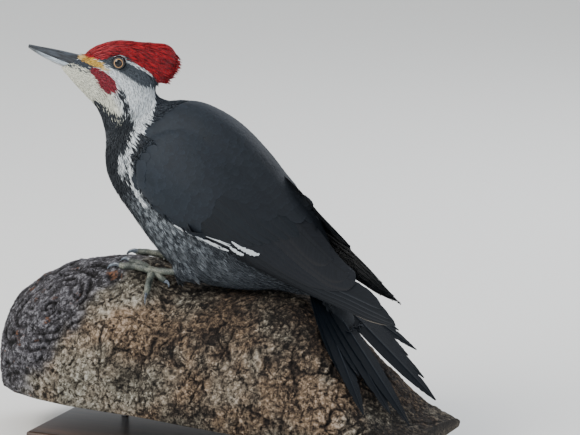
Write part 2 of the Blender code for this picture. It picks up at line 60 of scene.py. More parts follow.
# The body's sections, as (top, bottom, half width) in millimetres, from the bill to the tail. The head's are measured
# ahead of and above the point between the eyes, and the rest as X and Z in the bird's middle plane.
HEAD_SECTIONS = (
    ((29, -3.4), (43.5, -18.3), 6.2),
    ((24, 1.5), (35.6, -23.2), 9.4),
    ((15, 7.5), (26.4, -28.7), 12.4),
    ((3, 11), (17.6, -33.7), 14.2),
    ((-10, 12), (10, -37.7), 15.2),
    ((-22, 7.5), (4.2, -42.4), 16.2),
    ((-31, -2.5), (-0.2, -47.8), 17.2),
    ((-35.5, -14), (-3.6, -53.8), 18.5),
)
TRUNK_SECTIONS = (
    ((-72, 273.5), (-124, 236), 21),
    ((-57, 275), (-124.5, 222), 25),
    ((-36, 272.5), (-121.5, 209), 30),
    ((-10, 260), (-112, 195), 35),
    ((12, 241), (-100, 181), 37),
    ((30, 221), (-87, 165), 37),
    ((45, 205.5), (-72, 149), 35.5),
    ((55.5, 192), (-54, 135), 33),
    ((63.5, 180), (-30, 130), 29.5),
    ((68, 168), (-3, 129), 25),
    ((74, 158), (22, 131.5), 19),
    ((74, 147), (44, 129.5), 16),
    ((71.5, 137.5), (62, 128.5), 13),
)
TAIL_COVERT_SECTIONS = ((40, 3.2, 12.6), (58, 1.6, 12.4))  # along the tail, half depth, half width
# Ahead of the eyes, top, bottom and half width.
CREST_SECTIONS = (
    (29, -0.9, -2.5, 1),
    (26, 1.9, -2.2, 3.4),
    (21.5, 6.6, -2.8, 6.4),
    (14, 12.2, -2, 8.8),
    (3.8, 17.2, 2, 9.6),
    (-12, 20.8, 0.8, 10.3),
    (-25, 24.2, -4, 9.5),
    (-33, 25.4, -8.5, 7.5),
    (-37.5, 23.4, -5.6, 5.8),
    (-41, 19.3, 0.6, 4),
    (-43.2, 14.8, 6.8, 1.8),
)
# Ahead of the eyes, heights of the ridge, the cutting edges and the keel, and half width.
BILL_SECTIONS = (
    (24, -2.8, -11.4, -16.2, 6.2),
    (31, -3.5, -11.9, -16.7, 6),
    (39, -4.1, -12, -16.8, 5.3),
    (47, -4.8, -11.7, -16.4, 4.5),
    (55.4, -5.7, -11.1, -15, 3.6),
    (62.8, -6.7, -10.4, -13.4, 2.8),
    (69.2, -7.4, -9.7, -11.6, 2.1),
    (72.4, -7.8, -9.3, -10.5, 1.5),
)
# Upper edge, middle and lower edge of a folded wing as X, distance from the middle plane and Z, from bend to tip.
WING_SECTIONS = (
    ((-84, 31, 236), (-88, 34, 229), (-85, 32, 221)),
    ((-70, 28, 251), (-80, 39, 228), (-79, 37, 206)),
    ((-44, 23, 258), (-60, 43, 226), (-66, 39, 195)),
    ((-12, 17, 247), (-30, 45.5, 214), (-44, 39, 181)),
    ((16, 14, 225), (-2, 44.5, 195), (-18, 37, 169)),
    ((40, 12, 202), (24, 40, 174), (10, 35, 157)),
    ((62, 12, 178), (48, 34, 156), (38, 31, 145)),
    ((80, 12, 160), (72, 27, 142), (66, 26, 133)),
    ((96, 11, 148), (92, 21, 132), (90, 22, 124)),
    ((114, 12, 134), (112, 18, 122), (112, 19, 116)),
    ((131, 15, 117.5), (131, 17, 115.5), (131, 17.5, 113.5)),
)
FAR_WING = {"lift": 0.8, "slide": 12.0, "overlap": 19.0, "rise": 21.0}  # degrees, then millimetres
WING_PIVOT = Vector((-70.0, 0.0, 235.0)) * MM
# Tail feathers from the top of the fan down: angle from the tail's axis, negative on the left, length and half width.
RECTRICES = ((-8.2, 148, 9.6), (9.6, 144, 11), (-13.2, 134, 9.5), (14, 126, 8), (-19, 98, 8.5),
             (18, 106, 8), (-24.8, 131, 9.5), (25, 111, 6.5), (-29, 97, 7.5), (29.5, 92, 6))
# The perch along X: height of its top, and half depth as a share of PERCH_HALF_DEPTH.
PERCH_SECTIONS = (
    (-212, 80, 0.22),
    (-207, 98, 0.50),
    (-197, 113, 0.74),
    (-180, 125, 0.92),
    (-156, 136, 1.02),
    (-128, 142.5, 1.06),
    (-104, 145, 1.04),
    (-88, 144, 1.02),
    (-74, 139.5, 1),
    (-60, 131.5, 1),
    (-46, 126, 1.01),
    (-26, 126, 1.02),
    (0, 127.3, 1.02),
    (26, 128, 1.01),
    (48, 124.8, 1),
    (66, 113.5, 0.99),
    (84, 94, 0.98),
    (102, 75, 0.97),
    (112, 63, 0.96),
    (120, 54, 0.95),
    (132, 43, 0.94),
    (142, 36.6, 0.92),
    (156, 31.5, 0.86),
)
PERCH_FLAT = ((-212, 40), (156, 19))  # ends of the sawn underside, as X and Z
PERCH_HALF_DEPTH = 68.0
PERCH_UNDERCUT = 0.32  # how far the sides turn in under the widest line, as a share of the height above it
PERCH_REACH = 73.5  # no bark stands out past this on either side
WOUND_KNOT = (-152, 0, 110)
FEET = {"left": (-76, -21), "right": (-84, 19)}  # X and Y of the joint that the toes spread from
# Each toe's degrees round from straight ahead, length and length of claw.
TOES = ((176, 11, 8), (-13, 22, 11), (7, 27, 12), (103, 20, 11))

# Marks of the face, ahead and up from the eye in millimetres, the same on both sides.
MALAR = ((20.3, -9.8), (16.1, -8.7), (10.8, -8.7), (6.7, -9.9), (1.8, -11), (-2.6, -13.3), (-5.3, -17.7),
         (-6.2, -20.1), (-4, -24), (1, -25.6), (4.9, -22.9), (9.8, -19.3), (12.2, -16.4), (16.1, -14.6),
         (18.9, -12.9))
LORES = ((33, -5.2), (30.4, -4.4), (26.8, -2.5), (23, -2.3), (15.5, -2.1), (9.7, -4), (6.9, -5.7), (3.5, -6.8),
         (4.5, -9.2), (8.3, -8.7), (11.5, -7.5), (18.3, -7.5), (24.5, -7.2), (29.4, -6.3), (33, -6.2))
GAPE = ((46, -8), (36, -7.2), (29.4, -6.3), (24.5, -7.2), (18.3, -7.5), (13.2, -7.7), (18.6, -9.2), (18.4, -12),
        (18.5, -14.8), (25, -14.6), (33, -14.6), (46, -17.4))
MASK = ((16.5, -2.1), (11.3, 0.6), (5.3, 5.4), (0.3, 8.8), (-4.2, 8.9), (-8.7, 6.2), (-13, 4.6), (-19.1, 4.2),
        (-24.1, 2.2), (-29.6, -0.6), (-33.9, -4), (-37, -8), (-35.2, -10), (-32.3, -10.4), (-27.5, -11.4),
        (-22.3, -11.4), (-17, -8.7), (-9.7, -7), (-5.6, -5.9), (-0.9, -5.2), (4.5, -4.9), (7, -3.8), (11.4, -2.2))
EYE_LINE = ((3.6, 4.6), (-0.3, 6.6), (-3.8, 6.1), (-6.4, 3.3), (-9.6, 3), (-13.5, 2.7), (-18.9, 2.3), (-24.7, 0.4),
            (-28.6, -1.5))
CREST_EDGE = ((-50, -16), (-38.5, -13.5), (-35.9, -9.5), (-33.9, -4.6), (-29.6, -1.3), (-24.1, 1.5),
              (-19.1, 3.5), (-13, 4.2), (-8.7, 5.7), (-4.2, 8.2), (0.3, 8.2), (5.3, 5), (11.3, 0.2),
              (15.5, -1.8), (22.6, -2.4), (30, -2.8), (40, -3.4))
# The line that the crest's ends stop short of, round the back of the head and along over the bill, eye and cheek.
CREST_OUTLINE = ((31, -1.2), (26.4, 3.4), (22, 8.8), (13.5, 15), (3.6, 19.8), (-14, 23.9), (-29.3, 28.4),
                 (-38.2, 29), (-45.5, 23.8), (-49, 15.5), (-48.8, 7.5), (-46.5, 0.5), (-42.6, -6.4),
                 (-37, -14), (-35.2, -7.5), (-33.9, -5.2), (-29.6, -1.9), (-24.1, 1), (-19.1, 3),
                 (-13, 3.6), (-8.7, 5.2), (-4.2, 7.7), (0.3, 7.7), (5.3, 4.5), (11.3, -0.3), (15.5, -2.3),
                 (22.6, -2.9), (31, -3.4))
MOUSTACHE = ((-8, -20.5), (-11.6, -24.2), (-15.4, -28.4), (-18.6, -32.5), (-21.3, -38.5))
# Edges of the white neck stripe, as station along the body and degrees round from the back.
STRIPE_BACK = ((6, 9), (6.75, 11), (7.1, 14), (7.4, 23), (7.95, 34), (8.65, 50), (9.05, 62),
               (9.3, 72), (9.45, 82), (9.65, 90), (9.85, 99), (10.1, 107), (10.3, 113))
STRIPE_FRONT = ((6.3, 88), (7.05, 86), (7.75, 79), (8.7, 82), (9, 89), (9.35, 96), (9.6, 103),
                (9.75, 109), (10, 117), (10.3, 123))
FORE_NECK = ((76, 7.8), (91, 7.3), (108, 6.8), (119, 6.4), (131, 5.45), (140, 4.6), (145, 4),
             (160, 3.8), (180, 3.7))
# Ends of the two white lines that run on from the stripe, in the same terms.
STRIPE_FORKS = (((9.9, 114), (10.2, 121), (10.5, 126)),
                ((10.05, 108), (10.2, 111), (10.45, 112), (10.65, 114), (10.95, 117), (11.2, 120),
                 (11.5, 122), (11.75, 123), (12.1, 124)))

# The camera: degrees round from the front and up, the place it looks at, and the width it sees there, in metres.
VIEW_TURN, VIEW_RISE = 24.0, 12.0
VIEW_AIM = (0.0622, 0.0, 0.1886)
VIEW_WIDTH, VIEW_LENS = 0.4531, 200.0
# The lamps: place, power, size and colour. Each points at the middle of the model.
LAMPS = {
    "key": ((-0.9, -1.2, 1.5), 38.0, 0.9, "#fff8f0"),
    "fill": ((1.5, -1.3, 0.7), 9.0, 1.4, "#e8f0ff"),
    "rim": ((0.5, 1.3, 1.3), 18.0, 1.0, "#f2f6ff"),
}
LAMP_AIM = Vector((0.03, 0.0, 0.2))


def linear(code):
    """An sRGB hex colour as linear red, green and blue."""
    parts = [int(code[i : i + 2], 16) / 255 for i in (1, 3, 5)]
    return tuple(c / 12.92 if c <= 0.04045 else ((c + 0.055) / 1.055) ** 2.4 for c in parts)


def spline(table, place):
    """Rows of numbers read at fractional row numbers, on a smooth curve through them."""
    table = np.asarray(table, float)
    place = np.clip(np.asarray(place, float), 0, len(table) - 1)
    i = np.minimum(place.astype(int), len(table) - 2)
    f = (place - i)[..., None]
    a, b, c, d = (table[np.clip(i + k, 0, len(table) - 1)] for k in (-1, 0, 1, 2))
    return 0.5 * (2 * b + (c - a) * f + (2 * a - 5 * b + 4 * c - d) * f * f + (3 * b - a - 3 * c + d) * f**3)


def unit(v):
    return v / np.maximum(np.linalg.norm(v, axis=-1, keepdims=True), 1e-12)


def dot(a, b):
    return np.sum(a * b, axis=-1, keepdims=True)


def head_frame():
    """The head's own axes: X ahead along the bill, Y to the bird's left and Z up, from between the eyes."""
    turn = Matrix.Rotation(math.radians(20.6), 4, "Z") @ Matrix.Rotation(math.radians(-5.0), 4, "X")
    turn = turn @ Matrix.Rotation(math.radians(17.1), 4, "Y") @ Matrix.Rotation(math.pi, 4, "Z")
    return Matrix.Translation(Vector((-109.3, -9.0, 303.0)) * MM + Vector(BIRD_SHIFT)) @ turn


HEAD = head_frame()
HEAD_AXES, HEAD_MIDDLE = np.array(HEAD)[:3, :3], np.array(HEAD)[:3, 3]


def on_head(ahead, left, up):
    """Places in the row frame of points given in millimetres from between the eyes."""
    local = np.stack(np.broadcast_arrays(np.asarray(ahead, float), left, up), -1) * MM
    return local @ HEAD_AXES.T + HEAD_MIDDLE


def from_head(places):
    """Places in the row frame as millimetres ahead, left and up from between the eyes."""
    return (np.asarray(places) - HEAD_MIDDLE) @ HEAD_AXES / MM


def tail_frame():
    """The tail's own axes: X towards the tips, Y to the bird's right and Z out of its back."""
    droop = Matrix.Rotation(math.radians(47.0), 4, "Y")
    roll = Matrix.Rotation(math.radians(12.0), 4, "X")
    return Matrix.Translation(Vector((50.0, 0.0, 150.0)) * MM + Vector(BIRD_SHIFT)) @ droop @ roll


TAIL = np.array(tail_frame())


def on_tail(local):
    """Places of points given in millimetres in the tail's frame: X to the tips, Y to the right, Z up."""
    return np.asarray(local) * MM @ TAIL[:3, :3].T + TAIL[:3, 3]


def body_rows():
    """Top, bottom, left and half width of every station from the bill to the tail coverts, in metres."""
    rows = []
    for top, bottom, width in HEAD_SECTIONS:
        rows.append([*on_head(top[0], 0, top[1]), *on_head(bottom[0], 0, bottom[1]), *HEAD_AXES[:, 1], width * MM])
    for top, bottom, width in TRUNK_SECTIONS:
        upper = np.array((top[0], 0, top[1])) * MM + BIRD_SHIFT
        lower = np.array((bottom[0], 0, bottom[1])) * MM + BIRD_SHIFT
        rows.append([*upper, *lower, 0, -1, 0, width * MM])
    for reach, depth, width in TAIL_COVERT_SECTIONS:
        rows.append([*on_tail((reach, 0, depth - 2.2)), *on_tail((reach, 0, -depth - 2.2)), *-TAIL[:3, 1], width * MM])
    return np.array(rows)


BODY = body_rows()
LAST_STATION = len(BODY) - 1


def body_surface(station, angle, inset=0.0):
    """Places on the body's outline, at an angle in radians round from the back to the bird's left."""
    row = spline(BODY, station)
    top, bottom, left, width = row[..., 0:3], row[..., 3:6], unit(row[..., 6:9]), row[..., 9:10]
    middle, up = (top + bottom) / 2, (top - bottom) / 2
    out, high = np.sin(angle)[..., None], np.cos(angle)[..., None]
    inset = np.asarray(inset, float)[..., None] if np.ndim(inset) else inset
    spread = (width * (1 - 0.14 * high) - inset) * np.sign(out) * np.abs(out) ** 0.88
    return middle + up * (1 - inset / np.linalg.norm(up, axis=-1, keepdims=True)) * high + left * spread


def crest_surface(row, angle, inset=0.0):
    """Places on the crest, at an angle in radians round from its top to the bird's left."""
    ahead, top, bottom, width = np.moveaxis(spline(CREST_SECTIONS, row), -1, 0)
    middle, high = (top + bottom) / 2, (top - bottom) / 2
    inset = inset / MM
    return on_head(ahead, (width - inset) * np.sin(angle), middle + (high - inset) * np.cos(angle))


def wing_surface(side, share, across):
    """Places on a folded wing's outer face: share from the bend to the tip, across from its upper to lower edge."""
    table = np.array([[*a, *b, *c] for a, b, c in WING_SECTIONS], float)
    rows = spline(table, np.asarray(share) * (len(table) - 1))
    far = 1.0 if side > 0 else 0.0
    share = np.asarray(share, float)
    inner = far * np.clip((share - 0.42) / 0.16, 0, 1) * np.minimum(1.0, (1 - share) / 0.2)
    a, b, c = (rows[..., i : i + 3].copy() for i in (0, 3, 6))
    a[..., 1] -= FAR_WING["overlap"] * inner
    a[..., 2] += FAR_WING["rise"] * inner
    b[..., 2] += FAR_WING["rise"] * 0.45 * inner
    v = np.asarray(across, float)[..., None]
    point = a * (1 - v) ** 2 + (b * 2 - (a + c) / 2) * 2 * v * (1 - v) + c * v * v
    point[..., 1] *= side
    point = point * MM
    if far:
        turn = np.array(Matrix.Rotation(math.radians(-FAR_WING["lift"]), 3, "Y"))
        pivot = np.array(WING_PIVOT)
        slide = np.array((-0.87, 0, 0.49)) * MM * FAR_WING["slide"]
        point = (point - pivot + slide) @ turn.T + pivot
    return point + BIRD_SHIFT


def wing_normal(side, share, across):
    """Outward direction of the wing's outer face."""
    share, across = np.broadcast_arrays(np.asarray(share, float), np.asarray(across, float))
    step = 0.01
    along = wing_surface(side, np.minimum(share + step, 1), across) - wing_surface(side, share - step, across)
    down = wing_surface(side, share, across + step) - wing_surface(side, share, across - step)
    return unit(np.cross(down, along) if side < 0 else np.cross(along, down))


def coat_depth(station):
    """How deep the plumage is over the skin, in metres."""
    return np.interp(station, (0, 2, 6, 8, 10, 18, 20, 22), (0.5, 0.9, 1.3, 2.0, 2.8, 2.4, 1.2, 0.5)) * MM


def link(mesh):
    """A new object in the scene, named as its mesh is."""
    item = bpy.data.objects.new(mesh.name, mesh)
    bpy.context.scene.collection.objects.link(item)
    return item


def settle(item, material, slot, *replaced):
    """Gives a finished piece its material and lets it ride on the model. Its slot is not used."""
    item.data.materials.clear()
    item.data.materials.append(material)
    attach(item, "root")
    if replaced:
        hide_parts(*replaced)


def mesh_from_arrays(name, verts, faces):
    """A smooth-shaded mesh from an array of vertices and arrays of triangles or quads."""
    mesh = bpy.data.meshes.new(name)
    faces = [np.asarray(f, np.int32) for f in faces if len(f)]
    loops = np.concatenate([f.ravel() for f in faces])
    sizes = np.concatenate([np.full(len(f), f.shape[1], np.int32) for f in faces])
    mesh.vertices.add(len(verts))
    mesh.vertices.foreach_set("co", np.asarray(verts, np.float32).ravel())
    mesh.loops.add(len(loops))
    mesh.loops.foreach_set("vertex_index", loops)
    mesh.polygons.add(len(sizes))
    mesh.polygons.foreach_set("loop_start", np.concatenate([[0], np.cumsum(sizes)[:-1]]).astype(np.int32))
    mesh.polygons.foreach_set("loop_total", sizes)
    mesh.polygons.foreach_set("use_smooth", np.ones(len(sizes), bool))
    mesh.update(calc_edges=True)
    mesh.validate()
    return mesh


def set_colours(mesh, colours):
    layer = mesh.color_attributes.new("plumage", "FLOAT_COLOR", "POINT")
    rgba = np.ones((len(mesh.vertices), 4), np.float32)
    rgba[:, :3] = colours
    layer.data.foreach_set("color", rgba.ravel())


def set_uv(mesh, name, uv):
    """A UV map from one coordinate for each vertex."""
    layer = mesh.uv_layers.new(name=name)
    corner = np.empty(len(mesh.loops), np.int32)
    mesh.loops.foreach_get("vertex_index", corner)
    layer.data.foreach_set("uv", np.asarray(uv, np.float32)[corner].ravel())


def rings_to_bmesh(rings, bm=None):
    """A closed skin bridged through rings of points, filled at both ends."""
    bm = bm or bmesh.new()
    before = None
    new_faces = []
    for number, ring in enumerate(rings):
        verts = [bm.verts.new(p) for p in ring]
        edges = [bm.edges.new((verts[i], verts[(i + 1) % len(verts)])) for i in range(len(verts))]
        if before:
            new_faces += bmesh.ops.bridge_loops(bm, edges=before + edges)["faces"]
        if number in (0, len(rings) - 1):
            new_faces.append(bm.faces.new(verts))
        before = edges
    bmesh.ops.recalc_face_normals(bm, faces=new_faces)
    return bm


def bmesh_object(name, bm):
    """A smooth-shaded object made of a finished bmesh."""
    for face in bm.faces:
        face.smooth = True
    mesh = bpy.data.meshes.new(name)
    bm.to_mesh(mesh)
    bm.free()
    return link(mesh)


def apply_modifiers(item):
    """Swaps an object's mesh for its evaluated one and drops its modifiers."""
    graph = bpy.context.evaluated_depsgraph_get()
    mesh = bpy.data.meshes.new_from_object(item.evaluated_get(graph))
    old = item.data
    item.modifiers.clear()
    item.data = mesh
    bpy.data.meshes.remove(old)


# Materials


def node(tree, kind, inputs=None, stops=(), out=0, feeds=None, **settings):
    """Adds a shader node and gives its output socket. inputs maps a socket to a value or to the socket that feeds it,
    stops are a ramp's places and colours, and feeds is the socket of the main shader that takes the result."""
    made = tree.nodes.new("ShaderNode" + kind)
    for key, value in settings.items():
        setattr(made, key, value)
    for key, value in (inputs or {}).items():
        if isinstance(value, bpy.types.NodeSocket):
            tree.links.new(value, made.inputs[key])
        else:
            made.inputs[key].default_value = value
    for _ in stops[2:]:
        made.color_ramp.elements.new(0.5)
    for number, (place, code) in enumerate(stops):
        made.color_ramp.elements[number].position = place
        made.color_ramp.elements[number].color = (*linear(code), 1.0)
    if feeds:
        tree.links.new(made.outputs[out], tree.nodes["Principled BSDF"].inputs[feeds])
    return made.outputs[out]


def blank_material(name, roughness, **shader_values):
    """A material with only a Principled shader, and its node tree."""
    material = bpy.data.materials.new(name)
    material.use_nodes = True
    shader = material.node_tree.nodes["Principled BSDF"]
    shader.inputs["Roughness"].default_value = roughness
    for key, value in shader_values.items():
        shader.inputs[key.replace("_", " ")].default_value = value
    return material, material.node_tree


def contour_feather_material(name, sheen, roughness, low=0.72, high=1.22):
    """Soft body feather: loose barbs scatter light, so it is matte with a sheen at the edge. Its colour is painted on
    each feather, and along the barbs it runs from low to high times that. Barbs are about 0.3 mm apart, drawn at
    0.5 mm so that they show."""
    material, tree = blank_material(name, roughness, Sheen_Weight=sheen, Sheen_Roughness=0.45,
                                    Sheen_Tint=(*linear("#c9d3df"), 1.0), Specular_IOR_Level=0.15)
    paint = node(tree, "Attribute", attribute_name="plumage")
    vane = node(tree, "UVMap", uv_map="vane")
    barbs = node(tree, "Mapping", {"Vector": vane, "Scale": (6.0, 1.6, 1.0)})
    streak = node(tree, "TexNoise", {"Vector": barbs, "Scale": 3.0, "Detail": 3.0})
    spread = node(tree, "MapRange", {"Value": streak, "From Min": 0.3, "From Max": 0.7, "To Min": low, "To Max": high})
    node(tree, "VectorMath", {0: paint, "Scale": spread}, feeds="Base Color", operation="SCALE")
    node(tree, "Bump", {"Height": streak, "Strength": 0.35, "Distance": 0.0002}, feeds="Normal")
    return material


def flight_feather_material(name, base, edge, gloss, shine=0.16):
    """Stiff vane of a wing or tail feather: barbs hook together into a smooth sheet with a faint silk gloss.
    Barbs are 0.4 mm apart, drawn at 0.55 mm so that they show, and the outer edge is painted paler and browner, as wear
    and painted highlight."""
    material, tree = blank_material(name, gloss, Specular_IOR_Level=shine)
    paint = node(tree, "Attribute", attribute_name="plumage")
    vane = node(tree, "UVMap", uv_map="vane")
    across, down = node(tree, "SeparateXYZ", {"Vector": vane}, out=slice(2))
    side = node(tree, "Math", {0: across, 1: 0.5}, operation="SUBTRACT")
    off = node(tree, "Math", {0: side}, operation="ABSOLUTE")
    # Down the vane the map runs in millimetres, so one barb is one wave.
    place = node(tree, "Math", {0: off, 1: -24.0, 2: down}, operation="MULTIPLY_ADD")
    wave = node(tree, "Math", {0: place, 1: math.tau / 0.55}, operation="MULTIPLY")
    barb = node(tree, "Math", {0: wave}, operation="SINE")
    slanted = node(tree, "CombineXYZ", {"X": off, "Y": place})
    stretch = node(tree, "Mapping", {"Vector": slanted, "Scale": (3.0, 0.55, 1.0)})
    clump = node(tree, "TexNoise", {"Vector": stretch, "Scale": 1.0, "Detail": 5.0})
    tone = node(tree, "ValToRGB", {"Fac": clump}, ((0.3, base), (0.62, edge)))
    node(tree, "Mix", {0: 0.62, 6: tone, 7: paint}, out=2, feeds="Base Color", data_type="RGBA")
    height = node(tree, "Math", {0: barb, 1: 0.25, 2: clump}, operation="MULTIPLY_ADD")
    node(tree, "Bump", {"Height": height, "Strength": 0.5, "Distance": 0.00012}, feeds="Normal")
    return material


def horn_material(name, dark, pale, gloss):
    """Horn of the bill or a claw: keratin grown in long layers and polished by use.
    Growth streaks run along it, about 1 mm apart, and it is paler where worn."""
    material, tree = blank_material(name, gloss, Coat_Weight=0.25, Coat_Roughness=0.2)
    place = node(tree, "TexCoord", out="Object")
    turned = node(tree, "Mapping", {"Vector": place, "Rotation": HEAD.to_euler(), "Location": HEAD.translation},
                  vector_type="TEXTURE")
    grain = node(tree, "Mapping", {"Vector": turned, "Scale": (60.0, 900.0, 900.0)})
    streak = node(tree, "TexNoise", {"Vector": grain, "Scale": 1.0, "Detail": 5.0})
    wear = node(tree, "TexNoise", {"Vector": turned, "Scale": 130.0, "Detail": 3.0})
    blend = node(tree, "Math", {0: wear, 1: 0.45, 2: streak}, operation="MULTIPLY_ADD")
    tone = node(tree, "ValToRGB", {"Fac": blend}, ((0.58, dark), (0.86, pale)))
    paint = node(tree, "Attribute", attribute_name="plumage")
    node(tree, "Mix", {0: 1.0, 6: tone, 7: paint}, out=2, feeds="Base Color", data_type="RGBA", blend_type="MULTIPLY")
    node(tree, "Bump", {"Height": blend, "Strength": 0.35, "Distance": 0.0003}, feeds="Normal")
    return material


def eye_socket(side_name):
    """Middle, radius and outward direction of one eye."""
    low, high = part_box("eye_" + side_name)
    side = 1 if side_name == "left" else -1
    return (low + high) / 2, (high.z - low.z) / 2, HEAD.to_3x3() @ Vector((0, side, 0))


def eye_material(name, side_name):
    """A living eye: a clear wet cornea over a narrow tan iris and a wide blue-black pupil."""
    material, tree = blank_material(name, 0.10, Coat_Weight=0.2, Coat_Roughness=0.03, IOR=1.36)
    middle, _, axis = eye_socket(side_name)
    place = node(tree, "TexCoord", out="Object")
    local = node(tree, "Mapping", {"Vector": place, "Location": middle,
                                   "Rotation": axis.to_track_quat("Z", "Y").to_euler()}, vector_type="TEXTURE")
    flat = node(tree, "VectorMath", {0: local, 1: (1000.0, 1000.0, 0.0)}, operation="MULTIPLY")
    far = node(tree, "VectorMath", {0: flat}, out="Value", operation="LENGTH")
    streaks = node(tree, "VectorMath", {0: flat}, operation="NORMALIZE")
    fleck = node(tree, "TexNoise", {"Vector": streaks, "Scale": 9.0, "Detail": 4.0})
    wobble = node(tree, "Math", {0: fleck, 1: 0.35, 2: far}, operation="MULTIPLY_ADD")
    radius = node(tree, "Math", {0: wobble, 1: 0.17}, operation="MULTIPLY")
    node(tree, "ValToRGB", {"Fac": radius}, (
        (0.0, "#060b14"), (0.50, "#04060a"), (0.54, "#3d2c1c"), (0.56, "#b98a5e"), (0.61, "#cfa67a"),
        (0.635, "#7f5e40"), (0.655, "#0d0c0c")), feeds="Base Color")
    return material


def lid_material(name):
    """Bare skin of the eyelids: dry, finely wrinkled, slate grey."""
    material, tree = blank_material(name, 0.55)
    place = node(tree, "TexCoord", out="Object")
    wrinkle = node(tree, "TexVoronoi", {"Vector": place, "Scale": 1400.0}, feature="DISTANCE_TO_EDGE")
    node(tree, "ValToRGB", {"Fac": wrinkle}, ((0.0, "#1b1d20"), (0.35, "#3d4247")), feeds="Base Color")
    node(tree, "Bump", {"Height": wrinkle, "Strength": 0.5, "Distance": 0.0002}, feeds="Normal")
    return material


def scute_material(name):
    """Horny skin of the toes: overlapping plates with dark dirt in the joints between them."""
    material, tree = blank_material(name, 0.5, Specular_IOR_Level=0.45)
    place = node(tree, "TexCoord", out="Object")
    plates = node(tree, "TexVoronoi", {"Vector": place, "Scale": 650.0}, feature="DISTANCE_TO_EDGE")
    stain = node(tree, "TexNoise", {"Vector": place, "Scale": 160.0, "Detail": 5.0})
    tone = node(tree, "ValToRGB", {"Fac": stain}, ((0.35, "#343a36"), (0.52, "#575e58"), (0.68, "#7f8276")))
    joint = node(tree, "ValToRGB", {"Fac": plates}, ((0.0, "#232521"), (0.13, "#ffffff")))
    node(tree, "Mix", {0: 0.85, 6: tone, 7: joint}, out=2, feeds="Base Color", data_type="RGBA", blend_type="MULTIPLY")
    node(tree, "Bump", {"Height": plates, "Strength": 0.7, "Distance": 0.0004}, feeds="Normal")
    return material


def bark_material(name):
    """Weathered hardwood bark: crumbly grey cork with brown where it flaked and black furrows, and an old wound of
    tarry blue-black wood whose rim flakes orange."""
    material, tree = blank_material(name, 0.86, Specular_IOR_Level=0.25)
    place = node(tree, "TexCoord", out="Object")
    paint = node(tree, "Attribute", attribute_name="plumage")
    # The painted red is the bark's tone, which follows its relief, with painted highlight on the ridges of the old
    # wound's folds and painted shade in their creases; green is the old wound and blue how brown it is.
    height, wound, brown = node(tree, "SeparateColor", {"Color": paint}, out=slice(3))
    crumbs = node(tree, "TexNoise", {"Vector": place, "Scale": 480.0, "Detail": 6.0, "Roughness": 0.66,
                                     "Distortion": 1.1})
    grit = node(tree, "TexNoise", {"Vector": place, "Scale": 1100.0, "Detail": 3.0, "Roughness": 0.6})
    bits = node(tree, "Math", {0: crumbs, 1: 1.9, 2: height}, operation="MULTIPLY_ADD")
    level = node(tree, "Math", {0: grit, 1: 0.45, 2: bits}, operation="MULTIPLY_ADD")
    # Thin dark splits wander between the crumbs.
    wander = node(tree, "TexNoise", {"Vector": place, "Scale": 95.0, "Detail": 4.0, "Roughness": 0.6,
                                     "Distortion": 0.8})
    middle = node(tree, "Math", {0: wander, 1: 0.5}, operation="SUBTRACT")
    near = node(tree, "Math", {0: middle}, operation="ABSOLUTE")
    splits = node(tree, "MapRange", {"Value": near, "From Min": 0.0, "From Max": 0.028, "To Min": -0.55, "To Max": 0.0})
    worn = node(tree, "Math", {0: level, 1: splits}, operation="ADD")
    scaled = node(tree, "MapRange", {"Value": worn, "From Min": 1.0, "From Max": 2.3})
    grey, tan, tar = (node(tree, "ValToRGB", {"Fac": scaled}, stops) for stops in (
        ((0.0, "#0c0b0a"), (0.25, "#29251f"), (0.48, "#59544a"), (0.7, "#827e72"), (0.95, "#b4b1a6")),
        ((0.0, "#0a0807"), (0.28, "#1f1814"), (0.5, "#463a2f"), (0.74, "#75634f"), (0.97, "#a59280")),
        ((0.05, "#060607"), (0.33, "#121113"), (0.52, "#28272a"), (0.74, "#47464b"), (0.95, "#7b7b80"))))
    flakes = node(tree, "TexNoise", {"Vector": place, "Scale": 75.0, "Detail": 5.0, "Roughness": 0.7})
    rust = node(tree, "MapRange", {"Value": flakes, "From Min": 0.61, "From Max": 0.72})
    rim = node(tree, "Mix", {0: rust, 6: tar, 7: (*linear("#7d563f"), 1.0)}, out=2, data_type="RGBA")
    cork = node(tree, "Mix", {0: brown, 6: grey, 7: tan}, out=2, data_type="RGBA")
    node(tree, "Mix", {0: wound, 6: cork, 7: rim}, out=2, feeds="Base Color", data_type="RGBA")
    node(tree, "Bump", {"Height": level, "Strength": 0.8, "Distance": 0.0009}, feeds="Normal")
    return material


def sawn_wood_material(name):
    """Sawn hardwood: growth rings about 3 mm apart round the trunk's heart, with saw marks across them."""
    material, tree = blank_material(name, 0.75)
    place = node(tree, "TexCoord", out="Object")
    moved = node(tree, "Mapping", {"Vector": place, "Location": (0.0, 0.012, 0.03), "Scale": (0.12, 1.0, 1.0)})
    warp = node(tree, "TexNoise", {"Vector": place, "Scale": 30.0, "Detail": 3.0}, out="Color")
    bent = node(tree, "VectorMath", {0: warp, 1: (0.012, 0.012, 0.012)}, operation="MULTIPLY")
    centre = node(tree, "VectorMath", {0: moved, 1: bent}, operation="ADD")
    far = node(tree, "VectorMath", {0: centre}, out="Value", operation="LENGTH")
    wave = node(tree, "Math", {0: far, 1: math.tau / 0.0031}, operation="MULTIPLY")
    rings = node(tree, "Math", {0: wave}, operation="SINE")
    fibre = node(tree, "TexNoise", {"Vector": place, "Scale": 900.0, "Detail": 4.0})
    level = node(tree, "Math", {0: rings, 1: 0.22, 2: fibre}, operation="MULTIPLY_ADD")
    node(tree, "ValToRGB", {"Fac": level}, ((0.2, "#7d5f41"), (0.55, "#b29066"), (0.8, "#cfb28a")), feeds="Base Color")
    node(tree, "Bump", {"Height": level, "Strength": 0.4, "Distance": 0.0003}, feeds="Normal")
    return material


